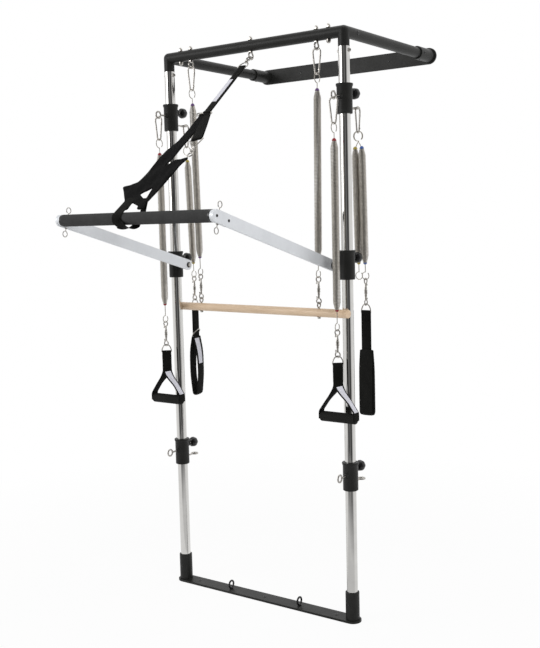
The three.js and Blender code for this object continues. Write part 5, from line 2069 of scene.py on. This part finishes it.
@dataclass
class SafetyStrap(SubAssembly):
    """The strap and sling from the middle of the crossbar to the push-through bar.

    Args:
        eye: The middle eye's centre, as Y and Z.
        slide: The slide's lower bar, as Y and Z.
        bar: The push-through bar's axis, as Y and Z.
        bar_radius: Radius of its foam.
        width: Width that the sling's shares count in.
        branch_x: The right branch at the slide.
        branch_turn: Angle of the right branch, in radians.
        edge: The sling's edge, as shares of its width and of the strap's length.
        hole: The hole in the sling, in the same shares.
    """

    eye: tuple[float, float] = (0.0, EYE_Z)
    slide: tuple[float, float] = (-262.0, 1725.0)
    bar: tuple[float, float] = (-BAR_REACH, BAR_Z)
    bar_radius: float = TUBE
    width: float = 150.0
    branch_x: float = 10.0
    branch_turn: float = 0.25
    edge: Outline = field(default_factory=lambda: [
        (-0.147, 0.0), (-0.16, 0.15), (-0.21, 0.29), (-0.34, 0.375), (-0.39, 0.45), (-0.42, 0.61),
        (-0.5, 0.71), (-0.79, 0.76), (-0.44, 0.9), (-0.46, 0.985), (-0.2, 0.985), (-0.21, 0.915),
        (0.05, 0.955), (0.06, 0.985), (0.235, 0.985), (0.2, 0.93), (0.23, 0.86), (0.27, 0.8),
        (0.32, 0.68), (0.37, 0.61), (0.39, 0.55), (0.45, 0.492), (0.43, 0.478), (0.3, 0.487),
        (0.13, 0.492), (0.03, 0.52), (-0.05, 0.56), (0.0, 0.45), (0.02, 0.38), (0.07, 0.26),
        (0.085, 0.14), (0.1, 0.0),
    ])
    hole: Outline = field(default_factory=lambda: [(0.07, 0.77), (0.11, 0.9), (-0.18, 0.83)])

    @property
    def loop_top(self) -> tuple[float, float]:
        """Where the strap meets the top of the bar, as Y and Z."""
        return (self.bar[0], self.bar[1] + self.bar_radius + 2.8)

    @property
    def length(self) -> float:
        """Length of the strap below the slide."""
        return math.dist(self.slide, self.loop_top)

    @property
    def plane(self) -> Matrix:
        """The strap's plane: X across, Y down the strap, Z to its back."""
        way = [(b - a) / self.length for a, b in zip(self.slide, self.loop_top)]
        down = Vector((0, way[0], way[1]))
        out = X_AXIS.cross(down)
        rows = Matrix((X_AXIS, down, out)).transposed().to_4x4()
        return Matrix.Translation((0, *self.slide)) @ rows

    @property
    def branch_plane(self) -> Matrix:
        """The right branch's plane, turned in the strap's own about its start on the slide."""
        start = self.plane @ Matrix.Translation((self.branch_x, 0, 0))
        return start @ Matrix.Rotation(-self.branch_turn, 4, "Z")

    @property
    def slide_top(self) -> Vector:
        """Middle of the slide's upper bar."""
        return self.plane @ Vector((0, -13, 0))

    @property
    def upper_way(self) -> Vector:
        """Direction of the upper strap, from the eye to the slide's upper bar."""
        return (self.slide_top - Vector((0, *self.eye))).normalized()

    def build(self) -> None:
        """Builds the strap from its hook down to the bar."""
        self.hook()
        self.upper()
        self.slide_frame()
        self.sling()
        self.bar_loops()
        self.branch()
        self.swivel()

    @staticmethod
    def jaw(form: Form, centre: float, bolt: tuple[float, float], pin: float) -> None:
        """Adds a round jaw with its bolt and thumb pin.

        Args:
            form: The form that is added to.
            centre: Height of the jaw's centre.
            bolt: The bolt's far end, as X and Z.
            pin: Height of the thumb pin.
        """
        form.ring((0, 0, centre), Y_AXIS, 9.0, 2.2, 28)
        form.tube([(8.6, 0, centre + 4), (bolt[0], 0, bolt[1])], 1.5, 10)
        knob = [(0, 0), (1.5, 0), (1.5, 3), (2.4, 3.3), (2.4, 5), (0, 5)]
        form.turned(knob, 12, X_AXIS, (4.5, 0, pin))

    def hook(self) -> None:
        """Builds the strap's own hook with its swivel barrel and D-ring."""
        start = Vector((0, *self.eye)) + self.upper_way * 6.3
        place = placed(start, 0, self.upper_way)
        form = Form().at(place, 0)
        self.jaw(form, -9, (6.4, -19), -22)
        barrel = [
            (0, -15.6), (3.4, -17.4), (5, -19), (5, -24), (4, -25),
            (4, -27), (5, -28), (5, -33), (3, -36), (0, -36),
        ]
        form.turned(barrel, 20)
        form.at(place @ Matrix.Translation((0, 0, -34)) @ Matrix.Rotation(math.pi / 2, 4, "Z"))
        d_ring(form, 19.0)
        self.bench.steel("strap_hook", form, "frame")

    def upper(self) -> None:
        """Builds the upper webbing, folded round the D-ring and the slide, and its blank label."""
        way = self.upper_way
        start = Vector((0, *self.eye)) + way * 66.3
        end = self.slide_top
        reach = (end - start).length
        turn = Matrix((X_AXIS, X_AXIS.cross(way), -way)).transposed().to_4x4()
        form = Form().at(Matrix.Translation(start) @ turn, 0)
        top = standing(arc_points(3.3, 0, math.pi, 8))
        low = standing(arc_points(3.8, math.pi, TAU, 8, (0, 0, -reach)))
        path = [*top, (0, -1.4, -9), (0, -1.4, -reach + 10), *low, (0, 1.4, -reach + 10), (0, 1.4, -9)]
        form.sweep(np.array(path), strap_section(27, 2.3), across=(1, 0, 0), closed=True)
        sewn = strap_section(27.4, 5.6)
        for high in (-14.0, -reach + 34):
            form.sweep(seam(high), sewn, across=(1, 0, 0))
        form.finish = 1
        label = np.array([(-3, -2.95, -reach * 0.30), (-3, -2.95, -reach * 0.78)])
        form.sweep(label, strap_section(18, 0.6), across=(1, 0, 0))
        made = self.bench.piece(
            "strap_upper_webbing", form, [WEBBING, LABEL], "webbing", None, ["strap_upper"],
        )
        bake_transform(made)

    def slide_frame(self) -> None:
        """Builds the three-bar slide."""
        form = Form().at(self.plane @ Matrix.Translation((-9, 0, 0)), 0)
        corners = [(-28, 0, 0), (28, 0, 0), (31, -3, 0), (31, -10, 0), (28, -13, 0), (-28, -13, 0)]
        corners += [(-31, -10, 0), (-31, -3, 0)]
        form.tube(corners, 2.3, 12, closed=True)
        self.bench.steel("strap_slide", form, "left_middle")

    def sling(self) -> None:
        """Builds the cloth of the sling and its left strand as one sheet."""
        outer, inner = (
            self.smoothed([(x * self.width, y * self.length) for x, y in shares], radius)
            for shares, radius in ((self.edge, 7.0), (self.hole, 5.0))
        )
        flat, triangles = self.filled(outer, inner, 8.0)
        form = Form().at(self.plane, 0)
        raised = np.array([self.drape(x, y) for x, y in flat])
        form.add(np.column_stack([flat, raised]), triangles, flat)
        made = self.bench.piece(
            "sling_cloth_sheet", form, [SLING_CLOTH], "webbing", None, ["strap_lower"], sharp=80,
        )
        thick = made.modifiers.new("cloth", "SOLIDIFY")
        thick.thickness = 3.4 * MM
        thick.offset = 0
        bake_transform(made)

    def drape(self, x: float, y: float) -> float:
        """Returns how far the cloth stands off its plane.

        Args:
            x: Place across the strap.
            y: Place down the strap.

        Returns:
            Distance toward the plane's back.
        """
        belly = math.sin(math.pi * clamped((y / self.length - 0.35) / 0.6))
        folds = 1.6 * math.sin(x * 0.09 + y * 0.045) + 0.9 * math.sin(x * 0.21 - y * 0.03 + 1.0)
        return belly * (folds + 3.2 * math.cos((x + 20) * 0.025)) * 0.8

    @staticmethod
    def area(corners: np.ndarray) -> float:
        """Returns the area of a flat triangle."""
        (ax, ay), (bx, by), (cx, cy) = corners
        return abs((bx - ax) * (cy - ay) - (cx - ax) * (by - ay)) / 2

    @staticmethod
    def smoothed(outline: Outline, radius: float) -> np.ndarray:
        """Rounds a closed outline's corners and spaces its points.

        Args:
            outline: The corners.
            radius: Reach of each rounded corner.

        Returns:
            Points about 7 mm apart or nearer.
        """
        closed = [(x, y, 0.0) for x, y in outline]
        first = ((closed[0][0] + closed[-1][0]) / 2, (closed[0][1] + closed[-1][1]) / 2, 0.0)
        path = fillet([first, *closed, first], radius, 3)[:-1, :2]
        dense: list[np.ndarray] = []
        for start, end in zip(path, np.roll(path, -1, axis=0)):
            steps = max(1, int(np.linalg.norm(end - start) // 7))
            dense += [start + (end - start) * step / steps for step in range(steps)]
        return np.array(dense)

    @staticmethod
    def inside(x: float, y: float, loop: np.ndarray) -> bool:
        """Tells whether a point lies in a closed outline.

        Args:
            x: The point's first coordinate.
            y: Its second coordinate.
            loop: The outline's points.

        Returns:
            Whether it is inside.
        """
        ax, ay = loop[:, 0], loop[:, 1]
        bx, by = np.roll(ax, -1), np.roll(ay, -1)
        crossing = (ay > y) != (by > y)
        with np.errstate(divide="ignore", invalid="ignore"):
            where = (bx - ax) * (y - ay) / (by - ay) + ax
        return bool(np.count_nonzero(crossing & (x < where)) % 2)

    def filled(
        self, outer: np.ndarray, inner: np.ndarray, pitch: float
    ) -> tuple[np.ndarray, list[tuple[int, ...]]]:
        """Fills an outline with small triangles, leaving its hole open.

        Args:
            outer: The outline.
            inner: The hole.
            pitch: Distance between the points inside.

        Returns:
            The flat points and the triangles.
        """
        low, high = outer.min(axis=0), outer.max(axis=0)
        edge = np.vstack([outer, inner])
        loose = []
        for row, y in enumerate(np.arange(low[1] + pitch / 2, high[1], pitch)):
            for x in np.arange(low[0] + pitch / 2 * (row % 2), high[0], pitch):
                near = np.min(np.hypot(edge[:, 0] - x, edge[:, 1] - y))
                if near > pitch * 0.55 and self.inside(x, y, outer) and not self.inside(x, y, inner):
                    loose.append((x, y))
        verts = [Vector(point) for point in edge.tolist() + loose]
        count, total = len(outer), len(edge)
        edges = [(index, (index + 1) % count) for index in range(count)]
        edges += [(index, count + (index + 1 - count) % (total - count)) for index in range(count, total)]
        points, _, faces, *_ = delaunay_2d_cdt(verts, edges, [], 0, 0.001)
        flat = np.array([tuple(point) for point in points])
        kept = []
        for face in faces:
            x, y = flat[list(face)].mean(axis=0)
            if self.inside(x, y, outer) and not self.inside(x, y, inner):
                kept.append(tuple(face))
        return flat, kept

    def bar_loops(self) -> None:
        """Builds the hemmed band that goes over the bar's front, under it and up behind it."""
        form = Form()
        centre = np.array(self.bar)
        radius = self.bar_radius + 2.0
        lead, tail = (
            np.array((self.plane @ Vector((x, self.length - rise, 0))).yz)
            for x, rise in ((-47, 62), (13, 58))
        )
        first = self.tangent(lead, centre, radius, 1)
        last = self.tangent(tail, centre, radius, -1) + TAU
        rows = [(-47.0, *lead)]
        for share in np.linspace(0, 1, 42):
            angle = first + (last - first) * share
            sag = 7.0 * math.sin(math.pi * clamped((share - 0.42) / 0.5))
            y, z = centre + (radius + sag) * np.array([math.cos(angle), math.sin(angle)])
            rows.append((-50.0 + 63.0 * clamped((share - 0.38) / 0.62), y, z))
        rows.append((13.0, *tail))
        path = fillet(rows, 3.0, 2)
        widths = np.interp(path[:, 0], [-50.0, -10.0, 13.0], [1.0, 0.9, 0.6])
        form.sweep(path, strap_section(38, 2.6), across=(1, 0, 0), widths=widths)
        made = self.bench.piece("sling_bar_band", form, [WEBBING], "webbing", "push_bar")

    @staticmethod
    def tangent(apex: np.ndarray, centre: np.ndarray, radius: float, sign: int) -> float:
        """Returns the angle on a circle where a line from a point touches it.

        Args:
            apex: The point.
            centre: The circle's centre.
            radius: The circle's radius.
            sign: Which of the two tangents.

        Returns:
            The angle in radians.
        """
        to_apex = apex - centre
        half = math.acos(min(radius / float(np.linalg.norm(to_apex)), 1.0))
        return math.atan2(to_apex[1], to_apex[0]) + sign * half

    def branch(self) -> None:
        """Builds the right branch from the slide to its ring, and the hem on the slide."""
        form = Form().at(self.branch_plane, 0)
        widths = {-1.0: 22.0, 24.0: 27.0, 60.0: 33.0, 100.0: 37.5, 133.0: 38.0, 137.0: 38.0}
        for lift in (-1.7, 1.7):
            rings = []
            for y, width in widths.items():
                close = lift if y < 133 else lift * 1.9
                rings.append([(x, y, z + close) for x, z in strap_section(width, 2.6)])
            form.loft(np.array(rings), False, np.array(rings)[:, :, :2])
        form.tube([(-19, 136, 0), (19, 136, 0)], 4.2, 14)
        form.at(self.plane, 0)
        form.tube([(-22.5, 0, 0), (18.5, 0, 0)], 4.9, 16)
        made = self.bench.piece("sling_branch_webbing", form, [WEBBING], "webbing", "left_middle")

    def swivel(self) -> None:
        """Builds the three-sided ring, the swivel and the hook through the sling's corner."""
        turn = Matrix.Translation((0, 136, 0)) @ Matrix.Rotation(math.pi / 2, 4, "X")
        form = Form().at(self.branch_plane @ turn, 0)
        corners = [(20.5, 0, 0), (-20.5, 0, 0), (-24.5, 0, -4), (-4, 0, -46), (4, 0, -46), (24.5, 0, -4)]
        form.tube(corners, 2.0, 12, closed=True)
        barrel = [
            (0, -44.6), (4.6, -45), (5, -47), (5, -55), (4, -56),
            (4, -58), (5, -59), (5, -70), (3, -74), (0, -76.6),
        ]
        form.turned(barrel, 20)
        self.jaw(form, -83, (6.0, -66), -64)
        self.bench.steel("strap_swivel", form, "left_middle")


# The whole unit


@dataclass
class Lines(SubAssembly):
    """The lines of hooks, springs and straps that hang from the unit.

    Args:
        half: Middle of the unit to the axis of an upright.
        inner_eye: Middle of the unit to the eyes of the roll-down springs.
        front: Uprights to the front lines.
        back: Uprights to the back hooks.
        front_hook_z: Top of the front hooks.
        front_coil_z: Top of the front springs' coils.
        front_snap_z: Top of the handles' snaps.
        roll_hook_z: Top of the hooks of the wooden bar's springs.
        roll_snap_z: Top of the wooden bar's snaps.
        back_hook_z: Top of the back hooks.
        long_coil: Length of the front springs' coils.
        long_stem: Bottom of a long coil to its eye.
        short_coil: Length of the back springs' coils.
        short_stem: Bottom of a short coil to its eye.
        back_lean: Run of the back springs to the wall over a drop of one.
        left_low: Where the left foot strap hangs, as X and Y.
        right_low: Where the right foot strap hangs.
        spread: Sideways place of the rings of the two right springs on their one hook.
    """

    half: float = HALF
    inner_eye: float = INNER_EYE
    front: float = 70.0
    back: float = 84.0
    front_hook_z: float = 1766.0
    front_coil_z: float = 1632.5
    front_snap_z: float = 1015.7
    roll_hook_z: float = 1940.6
    roll_snap_z: float = 1186.7
    back_hook_z: float = 1747.0
    long_coil: float = 555.0
    long_stem: float = 40.0
    short_coil: float = 390.0
    short_stem: float = 28.0
    back_lean: float = 0.0324
    left_low: tuple[float, float] = (-369.65, 100.08)
    right_low: tuple[float, float] = (386.6, 98.08)
    spread: float = 13.6

    def build(self) -> None:
        """Builds every hanging line."""
        for side in Side:
            self.front_line(side)
            self.roll_line(side)
        self.back_lines()

    def front_line(self, side: Side) -> None:
        """Builds the hook, long spring, snap and handle in front of an upright.

        Args:
            side: The side that the line is on.
        """
        name = side.label
        x = side.value * self.half
        line = f"{name}_front_line"
        SnapHook(self.bench, f"{name}_front_hook", (x, -self.front, self.front_hook_z), line).build()
        Spring(
            self.bench, f"{name}_red_spring", (x, -self.front, self.front_coil_z), (0, 0), self.long_coil,
            self.long_stem, TipColour.RED, (line, f"{name}_handle"),
        ).build()
        DoubleSnap(
            self.bench, f"{name}_handle_snap", (x, -self.front, self.front_snap_z), f"{name}_handle",
            math.pi / 2,
        ).build()
        Handle(self.bench, side).build()

    def roll_line(self, side: Side) -> None:
        """Builds the hook, long spring and snap that hold one end of the wooden bar.

        Args:
            side: The side that the line is on.
        """
        name = side.label
        sign = side.value
        hook = (sign * self.inner_eye, 0, self.roll_hook_z)
        SnapHook(self.bench, f"{name}_roll_hook", hook, "frame").build()
        top = (sign * 269.53, -sign * 2.03, 1807.14)
        low = (sign * 275.80, -sign * 25.81, 1187.5)
        drop = top[2] - low[2]
        aim = ((low[0] - top[0]) / drop, (low[1] - top[1]) / drop)
        box_low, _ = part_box(f"{name}_purple_spring")
        eye, eye_wire = 26.0, 1.5
        length = (top[2] - box_low.z / MM - eye_wire - eye - self.long_stem) * math.hypot(1, *aim)
        Spring(
            self.bench, f"{name}_purple_spring", top, aim, length, self.long_stem, TipColour.PURPLE,
            ("frame", "roll_bar"),
        ).build()
        snap = (*low[:2], self.roll_snap_z)
        DoubleSnap(self.bench, f"{name}_roll_snap", snap, "roll_bar", math.pi / 2).build()

    def back_lines(self) -> None:
        """Builds the lines behind the uprights: one spring on the left, two on the right."""
        for side in Side:
            SnapHook(
                self.bench, f"{side.label}_back_hook", (side.value * self.half, self.back, self.back_hook_z),
                f"{side.label}_back_line", math.pi / 2,
            ).build()
        lean = (0, self.back_lean)
        Spring(
            self.bench, "left_yellow_spring", (-372.64, 85.72, 1613.53), (0.0067, self.back_lean),
            self.short_coil, self.short_stem, TipColour.YELLOW, ("left_back_line", "left_foot"), 0.0,
            math.pi / 2,
        ).build()
        Spring(
            self.bench, "right_blue_spring", (386.6, 83.72, 1614.53), lean, self.short_coil,
            self.short_stem, TipColour.BLUE, ("right_back_line", "right_foot"), 0.0,
            ring_offset=-self.spread,
        ).build()
        Spring(
            self.bench, "right_yellow_spring", (359.4, 87.72, 1614.53), lean, self.short_coil,
            self.short_stem, TipColour.YELLOW, ("right_spare_spring",), 0.0, ring_offset=self.spread,
        ).build()
        left_snap, right_snap = (*self.left_low, 1173.97), (*self.right_low, 1174.96)
        DoubleSnap(self.bench, "left_foot_snap", left_snap, "left_foot", math.pi / 2).build()
        DoubleSnap(self.bench, "right_foot_snap", right_snap, "right_foot", 0.0).build()
        FootStrap(
            self.bench, Side.LEFT, (*self.left_low, 1087.07), math.pi, thickness=8.6, depth=42.0,
            neck=112.0, pad=235.0, pad_turn=math.radians(13), pad_twist=math.radians(-8), taper=0.55,
            label_on_pad=True,
        ).build()
        FootStrap(self.bench, Side.RIGHT, (*self.right_low, 1088.06), math.pi / 2).build()


@dataclass
class Studio:
    """The camera, floor, lamps and world.

    Args:
        eye: The camera's place, in metres.
        yaw: Turn to the left of +Y, in degrees.
        pitch: Angle below level, in degrees.
        roll: Turn about the view, in degrees.
        lens: Focal length, in mm.
        ambient: Brightness of the world on the object.
        mirrored_floor: Share of white in the floor as metal shows it.
        flags: Turn about the object, from 0 to 1, and brightness of the studio as metal shows it.
    """

    eye: tuple[float, float, float] = (1.9957, -2.7421, 1.3601)
    yaw: float = 35.308
    pitch: float = 5.857
    roll: float = -1.391
    lens: float = 53.17
    ambient: float = 0.5
    mirrored_floor: float = 0.85
    flags: tuple[tuple[float, float], ...] = (
        (0.0, 0.9), (0.19, 0.82), (0.238, 0.12), (0.31, 0.04), (0.34, 0.3), (0.37, 0.05),
        (0.45, 0.08), (0.495, 0.8), (0.85, 1.0), (1.0, 0.9),
    )

    def build(self) -> None:
        """Builds the whole studio."""
        self.camera()
        self.floor()
        self.lamps()
        self.world()
        bpy.context.scene.view_settings.view_transform = "Standard"

    def camera(self) -> None:
        """Places the camera where the photograph was taken from."""
        data = bpy.data.cameras.new("camera")
        data.lens = self.lens
        data.sensor_width = 36.0
        data.clip_end = 50.0
        made = put("camera", data)
        yaw, pitch, roll = (math.radians(a) for a in (self.yaw, self.pitch, self.roll))
        aim = Vector((-math.sin(yaw) * math.cos(pitch), math.cos(yaw) * math.cos(pitch), -math.sin(pitch)))
        right = Vector((math.cos(yaw), math.sin(yaw), 0))
        up = right.cross(aim)
        rolled = right * math.cos(roll) + up * math.sin(roll)
        raised = up * math.cos(roll) - right * math.sin(roll)
        turn = Matrix((rolled, raised, -aim)).transposed().to_4x4()
        made.matrix_world = Matrix.Translation(self.eye) @ turn
        bpy.context.scene.camera = made

    def floor(self) -> None:
        """Lays a round pale floor that shows white, keeps the shadow and fades to the backdrop."""
        form = Form()
        form.turned(rod(2600, -1, 0), 96)
        mesh = form.mesh("studio_floor")
        made = put("studio_floor", mesh)
        material = bpy.data.materials.new("studio_floor")
        material.use_nodes = True
        bench = NodeBench(material.node_tree)
        nodes = material.node_tree.nodes
        shader = nodes["Principled BSDF"]
        bench.fill(shader, Base_Color=(0.86, 0.86, 0.86, 1), Roughness=0.9, Specular_IOR_Level=0.1)
        path = bench.add("ShaderNodeLightPath").outputs
        away = bench.add("ShaderNodeVectorMath", operation="LENGTH", Vector=bench.place).outputs["Value"]
        colour = self.flagged(bench, bench.place, path, bench.spread(away, 0.9, 1.9, 0.62, 0.0))
        seen = bench.maths("MULTIPLY", path["Is Camera Ray"], bench.spread(away, 0.9, 2.3, 0.93, 1.0))
        mirrored = bench.maths("MULTIPLY", self.to_metal(bench, path), self.mirrored_floor)
        share = bench.maths("MAXIMUM", seen, mirrored)
        glow = bench.wire("ShaderNodeEmission", colour, 1.0)
        mix = bench.wire("ShaderNodeMixShader", share, shader.outputs["BSDF"], glow)
        bench.fill(nodes["Material Output"], Surface=mix)
        mesh.materials.append(material)

    def lamps(self) -> None:
        """Hangs three large soft lamps."""
        lamps = [
            ("key", (3.8, -1.9, 3.5), (0.0, 0.0, 1.0), 2.6, 90.0),
            ("fill", (-2.6, -3.8, 2.6), (0.0, 0.0, 1.1), 2.4, 66.0),
            ("top", (0.2, 0.8, 4.2), (0.0, 0.1, 0.5), 2.4, 20.0),
        ]
        for name, place, target, size, power in lamps:
            data = bpy.data.lights.new(name, "AREA")
            data.shape = "SQUARE"
            data.size = size
            data.energy = power
            made = put(name, data)
            made.visible_glossy = name != "key"
            turn = (Vector(target) - Vector(place)).to_track_quat("-Z", "Y")
            made.matrix_world = Matrix.Translation(place) @ turn.to_matrix().to_4x4()

    def world(self) -> None:
        """Sets a white backdrop, with the dark flags of a studio where metal mirrors it."""
        world = bpy.data.worlds.new("studio")
        bpy.context.scene.world = world
        world.use_nodes = True
        nodes = world.node_tree.nodes
        bench = NodeBench(world.node_tree)
        light = nodes["Background"]
        bench.fill(light, Color=(1, 1, 1, 1), Strength=self.ambient)
        path = bench.add("ShaderNodeLightPath").outputs
        way = bench.add("ShaderNodeTexCoord").outputs["Generated"]
        backdrop = bench.wire("ShaderNodeBackground", self.flagged(bench, way, path), 1.0)
        seen = bench.maths("MAXIMUM", path["Is Camera Ray"], self.to_metal(bench, path))
        mix = bench.wire("ShaderNodeMixShader", seen, light.outputs["Background"], backdrop)
        bench.fill(nodes["World Output"], Surface=mix)

    @staticmethod
    def to_metal(bench: NodeBench, path: bpy.types.NodeOutputs) -> bpy.types.NodeSocket:
        """Returns 1 for the rays that show the studio in metal."""
        return bench.maths("MAXIMUM", path["Is Glossy Ray"], path["Is Transmission Ray"])

    def flagged(
        self,
        bench: NodeBench,
        way: bpy.types.NodeSocket,
        path: bpy.types.NodeOutputs,
        lift: bpy.types.NodeSocket | float = 0.0,
    ) -> bpy.types.NodeSocket:
        """Gives a light's colour: white to the camera, and with the studio's flags to metal.

        Args:
            bench: The tree's bench.
            way: Direction from the object's middle.
            path: Outputs of the tree's light path node.
            lift: A level that the flags don't go below.

        Returns:
            The colour's socket.
        """
        split = bench.add("ShaderNodeSeparateXYZ", Vector=way).outputs
        azimuth = bench.maths("ARCTAN2", split["Y"], split["X"])
        flags = bench.ramp(self.flags, bench.spread(azimuth, -math.pi, math.pi, 0.0, 1.0))
        return bench.maths("MAXIMUM", path["Is Camera Ray"], bench.maths("MAXIMUM", flags, lift))


def main() -> None:
    """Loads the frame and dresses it."""
    logging.basicConfig(level=logging.INFO, format="%(name)s: %(message)s")
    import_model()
    bench = Bench(Effects())
    kinds = (TowerFrame, CrossbarEyes, Collars, PushThroughBar, Lines, RollDownBar, SafetyStrap)
    for part in (Studio(), *(kind(bench) for kind in kinds)):
        part.build()
        log.info("built %s", type(part).__name__)


if __name__ == "__main__":
    main()
